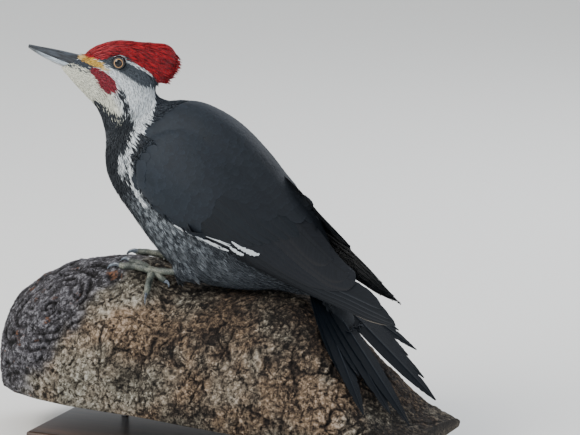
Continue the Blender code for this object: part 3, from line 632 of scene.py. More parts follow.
def stained_board_material(name):
    """Stained and varnished walnut board: long pores along X under a satin coat."""
    material, tree = blank_material(name, 0.38, Coat_Weight=0.35, Coat_Roughness=0.25)
    place = node(tree, "TexCoord", out="Object")
    long = node(tree, "Mapping", {"Vector": place, "Scale": (9.0, 130.0, 130.0)})
    grain = node(tree, "TexNoise", {"Vector": long, "Scale": 1.0, "Detail": 8.0, "Distortion": 0.6})
    node(tree, "ValToRGB", {"Fac": grain}, ((0.3, "#1d1410"), (0.55, "#3a281e"), (0.75, "#523a2b")), feeds="Base Color")
    node(tree, "Bump", {"Height": grain, "Strength": 0.15, "Distance": 0.0002}, feeds="Normal")
    return material


def brushed_steel_material(name):
    """Drawn steel rod: fine lines along its length stretch the highlight."""
    material, tree = blank_material(name, 0.32, Metallic=1.0)
    place = node(tree, "TexCoord", out="Object")
    drawn = node(tree, "Mapping", {"Vector": place, "Scale": (4000.0, 4000.0, 60.0)})
    line = node(tree, "TexNoise", {"Vector": drawn, "Scale": 1.0, "Detail": 3.0})
    node(tree, "ValToRGB", {"Fac": line}, ((0.35, "#8b8c8e"), (0.65, "#b9babc")), feeds="Base Color")
    node(tree, "MapRange", {"Value": line, "To Min": 0.24, "To Max": 0.42}, feeds="Roughness")
    return material


def plain_paper_material(name, colour):
    """Matte paper sweep of the studio."""
    return blank_material(name, 0.9, Base_Color=(*colour, 1.0))[0]


# Markings


def inside(outline, x, y):
    """Whether points lie inside a closed outline."""
    result = np.zeros(np.shape(x), bool)
    for (x0, y0), (x1, y1) in zip(outline, outline[1:] + outline[:1]):
        crosses = (y0 > y) != (y1 > y)
        result ^= crosses & (x < (x1 - x0) * (y - y0) / ((y1 - y0) or 1e-9) + x0)
    return result


def off_line(line, x, y):
    """Distance of points from a line of straight runs."""
    best = np.full(np.shape(x), 1e9)
    for (x0, y0), (x1, y1) in zip(line, line[1:]):
        run = max((x1 - x0) ** 2 + (y1 - y0) ** 2, 1e-9)
        f = np.clip(((x - x0) * (x1 - x0) + (y - y0) * (y1 - y0)) / run, 0, 1)
        best = np.minimum(best, np.hypot(x - x0 - f * (x1 - x0), y - y0 - f * (y1 - y0)))
    return best


def read(table, x):
    """A table of (x, y) rows read at x, in straight runs."""
    keys, values = zip(*table)
    return np.interp(x, keys, values)


class Guide:
    """The lie of the plumage: places on the bird with the way feathers point and their spot on the unwrap."""

    def __init__(self):
        places, lies, spots, kinds, firsts, seconds = [], [], [], [], [], []

        def lattice(surface, kind, first, second, chart):
            u, v = np.meshgrid(first, second, indexing="ij")
            step = (first[1] - first[0]) * 0.5
            place = surface(u, v)
            lie = unit(surface(np.minimum(u + step, first[-1]), v) - surface(np.maximum(u - step, first[0]), v))
            left, low, wide, high = chart
            across = (v - second[0]) / (second[-1] - second[0])
            spot = np.stack([left + wide * (u - first[0]) / (first[-1] - first[0]), low + high * across], -1)
            for store, value in ((places, place), (lies, lie), (spots, spot)):
                store.append(value.reshape(-1, value.shape[-1]))
            kinds.append(np.full(u.size, kind))
            firsts.append(u.ravel())
            seconds.append(v.ravel())

        turns = np.linspace(-math.pi, math.pi, 97)
        lattice(body_surface, 0, np.linspace(0, LAST_STATION, 221), turns, (0.02, 0.02, 0.6, 0.96))
        lattice(crest_surface, 1, np.linspace(0, len(CREST_SECTIONS) - 1, 91), turns, (0.66, 0.02, 0.3, 0.26))
        for kind, side in ((2, -1), (3, 1)):
            lattice(lambda u, v, s=side: wing_surface(s, u, v), kind, np.linspace(0, 1, 121), np.linspace(0, 1, 41),
                    (0.66, 0.32 + 0.34 * (kind - 2), 0.3, 0.28))
        self.places, self.lies, self.spots = (np.concatenate(a) for a in (places, lies, spots))
        self.kinds, self.first, self.second = (np.concatenate(a) for a in (kinds, firsts, seconds))
        self.tree = KDTree(len(self.places))
        for i, place in enumerate(self.places):
            self.tree.insert(place, i)
        self.tree.balance()
        quills = np.where((self.kinds >= 2) & (self.first > 0.24))[0]
        self.wing_tree = KDTree(len(quills))
        for i in quills:
            self.wing_tree.insert(self.places[i], i)
        self.wing_tree.balance()

    def nearest(self, places):
        """The guide's nearest place to each given place, by number, and how far off it is."""
        found = [self.tree.find(p) for p in places]
        return np.array([f[1] for f in found]), np.array([f[2] for f in found])


PALETTE = {
    "black": "#262a2f",
    "neck": "#2c3035",
    "back": "#272d34",
    "covert": "#20272f",
    "brown": "#191d22",
    "flank": "#1a1f25",
    "rump": "#12161a",
    "white": "#dfe6ea",
    "fringe": "#c6d0d8",
    "cream": "#dcddcd",
    "red": "#a3111b",
    "deep_red": "#4a080d",
    "malar": "#7f1f2b",
    "yellow": "#d6ad4c",
    "mask": "#454c53",
    "gape": "#3a414a",
    "amber": "#a8783a",
}
PAINT = {key: np.array(linear(code)) for key, code in PALETTE.items()}


def mark_face(colour, head, crest, white, kind, ahead, up, rng):
    """Paints the moustache, mask, gape, lores, crown and eye line over the head's colours."""
    count = len(colour)
    moustache = head & (rng.random(count) < 0.95 * np.exp(-((off_line(MOUSTACHE, ahead, up) / 2.4) ** 2)))
    colour[moustache & ~inside(MALAR, ahead, up)] = PAINT["black"]
    # The cheek is shaded under the mask, where grey and white feathers mix.
    under = off_line(MASK[-9:], ahead, up)
    shade = 0.75 * np.exp(-((under / 2.6) ** 2)) * np.clip((2 - ahead) / 6, 0, 1) * rng.random(count)
    shade = np.where(white, shade, 0)[:, None]
    colour = colour * (1 - shade) + PAINT["mask"] * 1.6 * shade
    colour[head & inside(MASK, ahead, up)] = PAINT["mask"]
    colour[head & inside(MALAR, ahead, up)] = PAINT["malar"]
    # The gape is bare and slaty above, and mottled below where the chin's feathers begin.
    gape = head & inside(GAPE, ahead, up) & ((up > -10.8) | (rng.random(count) < 0.45))
    colour[gape] = PAINT["gape"]
    lores = head & inside(LORES, ahead, up)
    pale = np.clip((11.0 - ahead) / 6.0, 0, 0.7)[:, None]
    brown = np.clip((ahead - 21.0) / 3.0, 0, 0.8)[:, None] * (rng.random(count) < 0.6)[:, None]
    yellow = PAINT["yellow"] * (1 - pale) + PAINT["cream"] * pale
    colour = np.where(lores[:, None], yellow * (1 - brown) + PAINT["amber"] * brown, colour)
    colour[(head | crest) & is_red(kind, ahead, up)] = PAINT["red"]
    line_width = np.interp(ahead, (-27, -22, -11, -7, 3), (0.6, 1.0, 1.3, 0.8, 0.5))
    colour[(head | crest) & (off_line(EYE_LINE, ahead, up) < line_width)] = PAINT["white"]
    return colour


def mark_flanks(colour, fringe, body, angle, station):
    """Paints the flanks and sets how strongly the feathers of the underside are fringed."""
    # Flank and belly: dark feathers with pale edges, whitest behind the neck stripe and fading to the tail.
    flank = body & (station > 11.2) & (angle > 100) & (angle < 160)
    strength = np.interp(station, (11.2, 12.0, 14.2, 15.4, 17.0), (0.6, 1.0, 1.0, 0.45, 0.06))
    strength *= np.interp(angle, (98, 108, 140, 158), (0.6, 1.0, 0.8, 0.15))
    strength += 1.6 * np.exp(-(((station - 12.7) / 0.8) ** 2) - ((angle - 123) / 9) ** 2)
    fringe[flank] = strength[flank]
    colour[flank] = PAINT["flank"]
    fringe[body & (station > 11) & (angle > 120) & ~flank] = 0.05


def plumage_marks(places, guide, rng=None, jitter=0.0):
    """Colour of the plumage at places on the bird, and how strongly it is fringed with white."""
    near, _ = guide.nearest(places)
    kind, first, second = guide.kinds[near], guide.first[near], guide.second[near]
    count = len(places)
    rng = rng or np.random.default_rng(5)
    local = from_head(places) + rng.normal(0, 1, (count, 3)) * jitter
    ahead, up = local[:, 0], local[:, 2]
    angle = np.degrees(np.abs(second)) + rng.normal(0, 1, count) * jitter * 3.0
    station = first + rng.normal(0, 1, count) * jitter * 0.10
    colour = np.tile(PAINT["back"], (count, 1))
    fringe = np.zeros(count)
    body, crest, wing = kind == 0, kind == 1, kind >= 2
    # The wing turns from lighter bluish slate at the bend to brownish black; the lighter slate at the bend is partly
    # painted sheen.
    brown = np.clip((first + 0.12 * second - 0.30) / 0.16, 0, 1)[:, None]
    colour = np.where(wing[:, None], PAINT["covert"] * (1 - brown) + PAINT["brown"] * brown, colour)
    colour[body & (angle > 62)] = PAINT["black"]
    head = body & (station < 7.9)
    white = head & (angle > read(STRIPE_BACK, station))
    colour[white] = PAINT["white"]
    # The throat is creamier than the cheek.
    cream = np.clip((8.0 + ahead - (up + 22.0) * 0.8) / 9.0, 0, 1) * np.clip((-7.0 - up) / 3.0, 0, 1)
    colour = np.where(white[:, None], colour * (1 - cream[:, None]) + PAINT["cream"] * cream[:, None], colour)
    stripe = body & (station > 6.0) & (station < 10.3)
    stripe &= (angle > read(STRIPE_BACK, station)) & (angle < read(STRIPE_FRONT, station))
    fore = body & (angle > 70) & (station > read(FORE_NECK, angle)) & (station < 11) & ~stripe
    # White flecks break up the top of the black fore-neck.
    fleck = (station < read(FORE_NECK, angle) + 0.9) & (angle > 100) & (rng.random(count) < 0.16)
    colour[fore & ~fleck] = PAINT["neck"]
    dark_side = body & (station >= 7.6) & (angle > read(STRIPE_FRONT, station)) & (station < 10.3)
    colour[dark_side] = PAINT["black"]
    colour[stripe] = PAINT["white"]
    for fork, width in zip(STRIPE_FORKS, (0.22, 0.17)):
        path = [(a, b / 14) for a, b in fork]
        colour[body & (off_line(path, station, angle / 14) < width)] = PAINT["white"]
    colour = mark_face(colour, head, crest, white, kind, ahead, up, rng)
    mark_flanks(colour, fringe, body, angle, station)
    # Towards the tail the plumage is black.
    rear = (np.clip((station - np.where(angle < 80, 13.5, 16.5)) / 3.5, 0, 1) * body)[:, None]
    colour = colour * (1 - rear) + PAINT["rump"] * rear
    fringe = fringe * (1 - rear[:, 0])
    return colour, fringe, near


def is_red(kind, ahead, up):
    """Whether places on the head are part of the crest, which starts at the bill and ends behind the crown."""
    above = up > read(CREST_EDGE, ahead)
    return above & ((kind == 1) | ((ahead > -35) & (ahead < 33)))


# Plumage pieces

GUIDE = None
SKIN = {}  # co, tri and bvh: the skin's vertices, triangles and search tree
BAKE_PATCH = 0.003  # how much of the unwrap's width one feather takes up
FAN_BARBS = 5  # locks in one contour feather


def guide_of_plumage():
    """The one guide, made when it is first asked for."""
    global GUIDE
    if GUIDE is None:
        GUIDE = Guide()
    return GUIDE


def flesh():
    """Overlapping closed shapes of the body, crest, wings and thighs, each a coat's depth inside its solid."""
    bm = bmesh.new()
    turns = np.linspace(0, math.tau, 40, endpoint=False)
    rings = []
    for station in np.linspace(0.02, LAST_STATION, 110):
        at = np.full(len(turns), station)
        rings.append(body_surface(at, turns, coat_depth(at)))
    rings_to_bmesh(rings, bm)
    rings = []
    for row in np.linspace(0.6, len(CREST_SECTIONS) - 1.15, 40):
        rings.append(crest_surface(np.full(24, row), np.linspace(0, math.tau, 24, endpoint=False), 1.3 * MM))
    rings_to_bmesh(rings, bm)
    for side in (-1, 1):
        rings = []
        for share in np.linspace(0.03, 0.66, 44):
            across = np.linspace(0.04, 0.96, 15)
            at = np.full(15, share)
            face = wing_surface(side, at, across)
            out = wing_normal(side, at, across)
            swell = np.sin(math.pi * np.linspace(0, 1, 15)) ** 0.7
            depth = np.interp(share, (0.0, 0.1, 0.4, 0.66), (4.0, 12.0, 12.0, 2.0)) * swell + 2.6
            rings.append(np.concatenate([face - out * 2.4 * MM, (face - out * depth[:, None] * MM)[::-1]]))
        rings_to_bmesh(rings, bm)
    for side in ("left", "right"):
        low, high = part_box("thigh_" + side)
        size = (high - low) / 2
        matrix = Matrix.Translation((low + high) / 2 + Vector((0, 0, 2 * MM))) @ Matrix.Diagonal((*(size * 0.86), 1.0))
        bmesh.ops.create_uvsphere(bm, u_segments=20, v_segments=12, radius=1.0, matrix=matrix)
    return bm


def remember_skin(mesh):
    """Keeps the skin's triangles, and a tree to find the nearest place on them, for the feathers that lie on it."""
    mesh.calc_loop_triangles()
    co = np.empty(len(mesh.vertices) * 3)
    mesh.vertices.foreach_get("co", co)
    tri = np.empty(len(mesh.loop_triangles) * 3, int)
    mesh.loop_triangles.foreach_get("vertices", tri)
    SKIN["co"], SKIN["tri"] = co.reshape(-1, 3), tri.reshape(-1, 3)
    SKIN["bvh"] = BVHTree.FromPolygons([Vector(p) for p in SKIN["co"]], [tuple(t) for t in SKIN["tri"]])


def make_skin(voxel):
    """One closed skin under the whole plumage."""
    skin = bmesh_object("skin", flesh())
    remesh = skin.modifiers.new("one_surface", "REMESH")
    remesh.mode = "VOXEL"
    remesh.voxel_size = voxel
    remesh.use_smooth_shade = True
    smooth = skin.modifiers.new("even_out", "SMOOTH")
    smooth.iterations = 6
    smooth.factor = 0.5
    apply_modifiers(skin)
    remember_skin(skin.data)
    guide = guide_of_plumage()
    colour, _, near = plumage_marks(SKIN["co"], guide)
    # The skin takes the plumage's colours at 0.6 times their brightness, as painted shade under the feathers.
    set_colours(skin.data, colour * 0.6)
    set_uv(skin.data, "OFBake", guide.spots[near])
    return skin


def scatter(seed, spacing_of, keep):
    """Evenly scattered places on the skin. spacing_of gives the spacing in millimetres from the number of the guide's
    nearest place, and keep says whether feathers of this kind grow there."""
    rng = np.random.default_rng(seed)
    guide = guide_of_plumage()
    corners = SKIN["co"][SKIN["tri"]]
    cross = np.cross(corners[:, 1] - corners[:, 0], corners[:, 2] - corners[:, 0])
    area = np.linalg.norm(cross, axis=1) / 2
    middle_near, off = guide.nearest(corners.mean(1))
    spacing = spacing_of(middle_near) * MM
    wanted = keep(middle_near, corners.mean(1)) & (off < 4.6 * MM)
    weight = np.where(wanted, area / spacing**2 * 2.6, 0.0)
    count = rng.poisson(weight)
    owner = np.repeat(np.arange(len(area)), count)
    a, b = rng.random((2, len(owner)))
    flip = a + b > 1
    a[flip], b[flip] = 1 - a[flip], 1 - b[flip]
    base = corners[owner]
    place = base[:, 0] + (base[:, 1] - base[:, 0]) * a[:, None] + (base[:, 2] - base[:, 0]) * b[:, None]
    order = rng.permutation(len(place))
    place, owner = place[order], owner[order]
    # Only the first point that falls in each cell of a grid is kept, on two grids half a cell apart.
    step = spacing[owner]
    level = np.round(np.log(step) / 0.12)
    for offset in (0.0, 0.5):
        cell = np.floor(place / (np.exp(level * 0.12) * (0.86 - 0.16 * offset))[:, None] + offset).astype(np.int64)
        key = np.concatenate([cell, level[:, None].astype(np.int64)], 1)
        _, pick = np.unique(key, axis=0, return_index=True)
        pick.sort()
        place, owner, level = place[pick], owner[pick], level[pick]
    return place, unit(cross[owner]), guide.nearest(place)[0], rng


def on_skin(places, out, reach):
    """The nearest places and outward directions on the skin, or the places as they are where it is out of reach."""
    find = SKIN["bvh"].find_nearest
    found = [find(p) for p in places.reshape(-1, 3)]
    at = np.array([f[0] for f in found]).reshape(places.shape)
    face = np.array([f[1] for f in found]).reshape(places.shape)
    lost = (np.linalg.norm(at - places, axis=-1) > reach) | (np.sum(face * out, -1) < 0.35)
    at[lost], face[lost] = places[lost], out[lost]
    return at, face


def lay_down(place, normal, lie, length, steps, stiffness=0.0):
    """Lines that run along the skin from their roots, with their side and outward directions at each step."""
    way = unit(lie - normal * dot(lie, normal))
    at, out = place.copy(), normal.copy()
    line, sides, outs = [], [], []
    for k in range(steps):
        line.append(at)
        sides.append(unit(np.cross(way, out)))
        outs.append(out)
        if k < steps - 1:
            run = length / (steps - 1)
            ahead = at + way * run[:, None]
            at, face = on_skin(ahead, out, 0.3 * run + 1.0 * MM)
            # A feather never wraps round an end of the body.
            curled = np.sum(face * normal, -1) < 0.35
            at[curled], face[curled] = ahead[curled], out[curled]
            out = unit(out * stiffness + face * (1 - stiffness))
            way = unit(way - out * dot(way, out))
    return np.stack(line, 1), np.stack(sides, 1), np.stack(outs, 1)


def read_rows(rows, at):
    """Rows (n, k, c) read at fractional places (n, m) along k."""
    count = rows.shape[1]
    at = np.clip(at, 0, 1) * (count - 1)
    i = np.minimum(at.astype(int), count - 2)
    f = (at - i)[..., None]
    n = np.arange(len(rows))[:, None]
    return rows[n, i] * (1 - f) + rows[n, i + 1] * f


def build_locks(name, line, side, out, width, crown, colour, spot):
    """Slim closed vanes with a raised middle: single points at root and tip, triangles between them.
    line, side and out are (n, k, 3), width and crown (n, k) in metres, and colour is (n, k, 3)."""
    n, k = width.shape
    middle = k - 2
    per = 3 * middle + 2
    ridge = line + out * crown[..., None]
    left = line + side * width[..., None]
    right = line - side * width[..., None]
    verts = np.empty((n, per, 3))
    shade = np.empty((n, per, 3))
    vane = np.empty((n, per, 2))
    verts[:, 0], verts[:, -1] = line[:, 0], line[:, -1]
    shade[:, 0], shade[:, -1] = colour[:, 0], colour[:, -1]
    seeds = np.random.default_rng(77).random(n) * 40
    vane[:, 0], vane[:, -1] = (0.5, 0.0), (0.5, 1.0)
    for i in range(middle):
        base = 1 + 3 * i
        for offset, source, across in ((0, left, 0.0), (1, ridge, 0.5), (2, right, 1.0)):
            verts[:, base + offset] = source[:, i + 1]
            shade[:, base + offset] = colour[:, i + 1]
            vane[:, base + offset] = (across, (i + 1) / (k - 1))
    faces3, faces4 = [(0, 1, 2), (0, 2, 3), (0, 3, 1)], []
    for i in range(middle - 1):
        a, b = 1 + 3 * i, 4 + 3 * i
        faces4 += [(a, b, b + 1, a + 1), (a + 1, b + 1, b + 2, a + 2), (a + 2, b + 2, b, a)]
    last = 1 + 3 * (middle - 1)
    tip = per - 1
    faces3 += [(last, tip, last + 1), (last + 1, tip, last + 2), (last + 2, tip, last)]
    start = (np.arange(n) * per)[:, None, None]
    tri = (np.array(faces3)[None] + start).reshape(-1, 3)
    quad = (np.array(faces4)[None] + start).reshape(-1, 4) if faces4 else np.empty((0, 4), int)
    mesh = mesh_from_arrays(name, verts.reshape(-1, 3), (tri, quad))
    set_colours(mesh, shade.reshape(-1, 3))
    bake = spot[:, None, :] + (vane - 0.5) * BAKE_PATCH
    set_uv(mesh, "OFBake", bake.reshape(-1, 2))
    vane = vane + seeds[:, None, None]
    set_uv(mesh, "vane", vane.reshape(-1, 2))
    return mesh


def build_fans(name, line, side, out, heights, half_width, colour, fringe, spot, rng):
    """Contour feathers, each a fan of slim barb locks that together make a rounded vane lying on the skin."""
    n = len(line)
    t = np.array((0.0, 0.3, 0.72, 1.0))
    locks = []
    twist = rng.normal(0, 0.05, n)[:, None]
    bold = np.clip(rng.normal(0.28, 0.62, n), 0.02, 1.5)
    for offset in np.linspace(-1, 1, FAN_BARBS):
        reach = 1 - 0.26 * offset**2 + rng.normal(0, 0.16, n) * 0.5
        at = t[None, :] * reach[:, None]
        row, across, face, rise = (read_rows(a, at) for a in (line, side, out, heights[..., None]))
        splay = (np.array((0.0, 0.62, 1.0, 0.86))[None, :] * offset + twist * t) * half_width[:, None]
        row, face = on_skin(row + across * splay[..., None], face, 1.5 * MM)
        jitter = rng.normal(0, 0.15, n)[:, None] * np.array((0, 0.4, 0.9, 1.2)) - 0.10 * abs(offset)
        lock_line = row + face * (rise + jitter[..., None] * MM)
        width = (half_width / FAN_BARBS * 1.75)[:, None] * np.array((0.0, 0.95, 1.0, 0.0))
        peak = np.broadcast_to(np.array((0, 0.09, 0.117, 0)) * MM, (n, 4))
        # Each lock is painted darker towards its root, as painted shade under the feathers that overlap it.
        tone = colour[:, None, :] * np.array((0.55, 0.9, 1.0, 1.03))[None, :, None]
        tone = tone * (1 + rng.normal(0, 0.05, n))[:, None, None]
        # The outer barbs and the tips carry the pale edge.
        strong = fringe * bold * (0.75 + 0.35 * abs(offset))
        edge = (np.array((0.0, 0.0, 0.22, 1.0))[None, :] * strong[:, None])[..., None]
        tone = tone * (1 - np.minimum(edge, 1)) + PAINT["fringe"] * np.minimum(edge, 1)
        locks.append((lock_line, across, face, width, peak, tone, spot))
    return build_locks(name, *(np.concatenate(a) for a in zip(*locks)))


def build_vanes(name, line, side, out, heights, half, colour, spot, rng):
    """Whole rounded vanes that lie like roof tiles, each a thin closed blade with a faint shaft and paler rim.
    line, side and out are (n, k, 3), heights (n, k) and half (n) in metres, and colour is (n, 3)."""
    n = len(line)
    t = np.array((0.0, 0.34, 0.6, 0.8, 0.93, 1.0))
    wide = np.array((0.35, 0.88, 1.0, 0.93, 0.66, 0.22))
    cols = np.array((-1.0, -0.5, 0.0, 0.5, 1.0))
    at = np.broadcast_to(t, (n, 6))
    row, across, face, rise = (read_rows(a, at) for a in (line, side, out, heights[..., None]))
    spread = wide[None, :, None] * cols[None, None, :] * half[:, None, None]
    place = row[:, :, None] + across[:, :, None] * spread[..., None]
    face = np.broadcast_to(face[:, :, None], place.shape).copy()
    place, face = on_skin(place, face, 2.0 * MM)
    # None hangs out past the edge of a wing.
    _, off = guide_of_plumage().nearest(place[:, 1:, ::2].reshape(-1, 3))
    kept = (off.reshape(n, -1) < 3.6 * MM).all(1)
    place, face, rise, colour, spot, n = place[kept], face[kept], rise[kept], colour[kept], spot[kept], kept.sum()
    face = unit(face + 2.0 * face.mean(2, keepdims=True))
    tilt = rng.normal(0, 0.03, n)[:, None, None] * cols[None, None, :]
    lift = rise[..., 0][:, :, None] + (tilt + 0.07 * (1 - np.abs(cols)) - 0.06 * cols**2) * MM
    top = place + face * lift[..., None]
    under = (top - face * 0.07 * MM)[:, 1:5, 1:4]
    verts = np.concatenate([top.reshape(n, 30, 3), under.reshape(n, 12, 3)], 1)
    low = np.arange(30).reshape(6, 5)
    low[1:5, 1:4] = 30 + np.arange(12).reshape(4, 3)
    high = np.arange(30).reshape(6, 5)
    faces = [np.stack([g[:-1, :-1], g[:-1, 1:], g[1:, 1:], g[1:, :-1]], -1).reshape(-1, 4) for g in (high, low)]
    quad = np.concatenate([faces[0], faces[1][:, ::-1]])
    start = (np.arange(n) * 42)[:, None, None]
    mesh = mesh_from_arrays(name, verts.reshape(-1, 3), ((quad[None] + start).reshape(-1, 4),))
    tone = np.array((0.82, 0.93, 0.98, 1.0, 1.06, 1.32))[:, None] * (1 + 0.07 * np.abs(cols)[None, :] ** 3)
    tone = tone[None] * (1 + rng.normal(0, 0.06, n))[:, None, None]
    shade = colour[:, None, None, :] * tone[..., None]
    # The under faces are painted darker than the top, as painted shade.
    under_shade = shade[:, 1:5, 1:4].reshape(n, 12, 3) * 0.8
    set_colours(mesh, np.concatenate([shade.reshape(n, 30, 3), under_shade], 1).reshape(-1, 3))
    # The rim stays crisp, so that the blade isn't shaded like a cushion.
    rim = np.ones((6, 5), bool)
    rim[1:5, 1:4] = False
    rim = np.concatenate([rim.ravel(), np.zeros(12, bool)])
    ends = np.empty(len(mesh.edges) * 2, np.int32)
    mesh.edges.foreach_get("vertices", ends)
    crisp = mesh.attributes.new("sharp_edge", "BOOLEAN", "EDGE")
    crisp.data.foreach_set("value", rim[ends.reshape(-1, 2) % 42].all(1))
    vane = np.stack(np.broadcast_arrays((cols[None, :] + 1) / 2, t[:, None]), -1)
    vane = np.concatenate([vane.reshape(30, 2), vane[1:5, 1:4].reshape(12, 2)])
    set_uv(mesh, "OFBake", (spot[:, None, :] + (vane[None] - 0.5) * BAKE_PATCH).reshape(-1, 2))
    seeds = rng.random(n) * 40
    set_uv(mesh, "vane", (vane[None] + seeds[:, None, None]).reshape(-1, 2))
    return mesh


def near_eye(local, radius):
    """Whether places lie within a radius in millimetres of the middle of either eye."""
    return (np.hypot(local[:, 0] + 0.9, local[:, 2] - 0.8) < radius) & (np.abs(local[:, 1]) > 7)


def head_fluff():
    """Hair-fine feathers of the face, chin and cheeks, smallest round the bill and eyes."""
    guide = guide_of_plumage()

    def spacing(near):
        return np.interp(guide.first[near], (0, 2, 5, 7.4), (0.72, 0.82, 1.0, 1.15))

    def keep(near, place):
        local = from_head(place)
        crown = is_red(guide.kinds[near], local[:, 0], local[:, 2] - 1.5)
        return (guide.kinds[near] == 0) & (guide.first[near] < 7.4) & ~near_eye(local, 4.3) & ~crown

    place, normal, near, rng = scatter(11, spacing, keep)
    station = guide.first[near]
    lie = guide.lies[near].copy()
    local = from_head(place)
    # Feathers part round the eye and sweep down the cheek.
    away = np.exp(-((np.hypot(local[:, 0] + 1, local[:, 2] - 0.8) - 5) / 4.5) ** 2)
    swirl = (local[:, 2] / 8.0)[:, None] * HEAD_AXES[:, 2]
    lie = unit(lie + swirl * away[:, None] * 0.7)
    down = np.clip((local[:, 0] + 26) / 30, 0, 1) * np.clip(-local[:, 2] / 12, 0, 1) * (local[:, 0] < 8)
    lie = unit(lie - HEAD_AXES[:, 2] * down[:, None] * 0.35)
    lie = unit(lie + rng.normal(0, 0.09, lie.shape))
    count = len(place)
    length = np.interp(station, (0, 1.5, 4, 7.4), (3.0, 4.2, 6.5, 9.5)) * MM * rng.uniform(0.8, 1.2, count)
    depth = coat_depth(station) * rng.uniform(0.65, 1.05, count)
    t = np.array((0.0, 0.35, 0.72, 1.0))
    line, side, out = lay_down(place, normal, lie, length, 4, 0.2)
    line = line + out * (depth[:, None] * t[None, :] ** 0.75 - 0.25 * MM)[..., None]
    colour, _, _ = plumage_marks(line[:, 2], guide, rng, 0.55)
    width = np.interp(station, (0, 3, 7.4), (0.27, 0.33, 0.42)) * MM * rng.uniform(0.8, 1.2, count)
    # Each feather is painted darker towards its root, as painted shade under the feathers that overlap it.
    tone = colour[:, None, :] * np.array((0.55, 0.85, 1.0, 1.08))[None, :, None]
    red = inside(MALAR, local[:, 0], local[:, 2])
    tone = np.minimum(tone * (1 + rng.normal(0, 1, count) * np.where(red, 0.24, 0.10))[:, None, None], 0.93)
    shape = np.array((0.0, 1.0, 0.85, 0.0))
    return build_locks("head_feathers", line, side, out, width[:, None] * shape,
                       width[:, None] * shape * 0.5, tone, guide.spots[near])


def crest_plumes():
    """Long narrow plumes of the crest, combed back from the bill over the crown and ragged at the back."""
    guide = guide_of_plumage()

    def keep(near, place):
        local = from_head(place)
        return is_red(guide.kinds[near], local[:, 0], local[:, 2])

    place, normal, near, rng = scatter(12, lambda near: np.full(len(near), 0.95), keep)
    local = from_head(place)
    count = len(place)
    # Straight back over the crown, and sweeping down towards the nape lower on the sides.
    drop = np.interp(local[:, 2] - read(CREST_EDGE, local[:, 0]), (0, 14, 22), (0.50, 0.16, 0.0))
    drop = drop * np.interp(local[:, 0], (-30, 0, 20), (0.9, 0.5, -0.9)) + np.interp(local[:, 0], (0, 25), (0, -0.1))
    lie = unit(-HEAD_AXES[:, 0] - HEAD_AXES[:, 2] * drop[:, None] + rng.normal(0, 0.045, (count, 3)))
    length = np.interp(local[:, 0], (-42, -25, 0, 22), (10.5, 14.0, 15.5, 12.0)) * MM * rng.uniform(0.7, 1.25, count)
    t = np.linspace(0, 1, 5)
    heights = np.interp(t, (0, 0.5, 1), (-0.3, 1.05, 1.7))[None, :] * MM * rng.uniform(0.65, 1.1, count)[:, None]
    line, side, out = lay_down(place, normal, lie, length, 5, 0.45)
    line = line + out * heights[..., None]
    # Plumes stop at the crest's outline, and cling together in points towards their ends.
    share = np.linspace(0, 1, 13)
    path = from_head(read_rows(line, np.broadcast_to(share, (count, 13))))
    stays = np.cumprod(inside(CREST_OUTLINE, path[..., 0], path[..., 2]), axis=1).sum(1)
    tip = path[np.arange(count), np.maximum(stays - 1, 0)] * 0.36
    notch = np.array([noise.noise(Vector(p)) for p in tip])
    reach = np.clip(stays / 13.0, 0.25, 1)
    back = np.clip((-24.0 - local[:, 0]) / 8.0, 0, 1)
    reach *= np.where(stays < 13, rng.uniform(0.82, 1.0, count), 1) + back * (0.55 * notch - 0.05)
    line = read_rows(line, t[None, :] * np.minimum(reach, 1)[:, None])
    leaders = KDTree(count // 9 + 1)
    for i in range(0, count, 9):
        leaders.insert(line[i, 3], i)
    leaders.balance()
    lead = np.array([leaders.find(p)[1] for p in line[:, 3]])
    pull = line[lead, 4] - line[:, 4]
    way = unit(line[:, 4] - line[:, 2])
    pull -= way * dot(pull, way) * 0.6
    pull *= np.minimum(1.0, 2.2 * MM / np.maximum(np.linalg.norm(pull, axis=1), 1e-9))[:, None]
    line = line + pull[:, None, :] * np.array((0.0, 0.05, 0.2, 0.45, 0.75))[None, :, None]
    mix = np.clip(rng.normal(0.38, 0.28, count), 0, 1)[:, None]
    colour = PAINT["red"] * (1 - mix) + PAINT["deep_red"] * mix
    # The front of the crest is painted rosier, as painted highlight.
    rosy_highlight = (np.clip((local[:, 0] - 4) / 16, 0, 1) * rng.uniform(0.0, 0.42, count))[:, None]
    colour = colour * (1 - rosy_highlight) + np.array(linear("#c4565c")) * rosy_highlight
    # Each plume is painted dark at its root and lighter to its tip, as painted shade and highlight, and some plumes
    # brighter than others.
    shade_to_highlight = np.array((0.25, 0.65, 0.9, 1.05, 1.2))[None, :, None] * rng.uniform(0.8, 1.25, count)[:, None, None]
    width = 0.34 * MM * rng.uniform(0.75, 1.35, count)
    shape = np.array((0.0, 1.0, 1.0, 0.8, 0.0))
    return build_locks("crest_plumes", line, side, out, width[:, None] * shape, width[:, None] * shape * 0.7,
                       np.minimum(colour[:, None, :] * shade_to_highlight, 0.93), guide.spots[near])


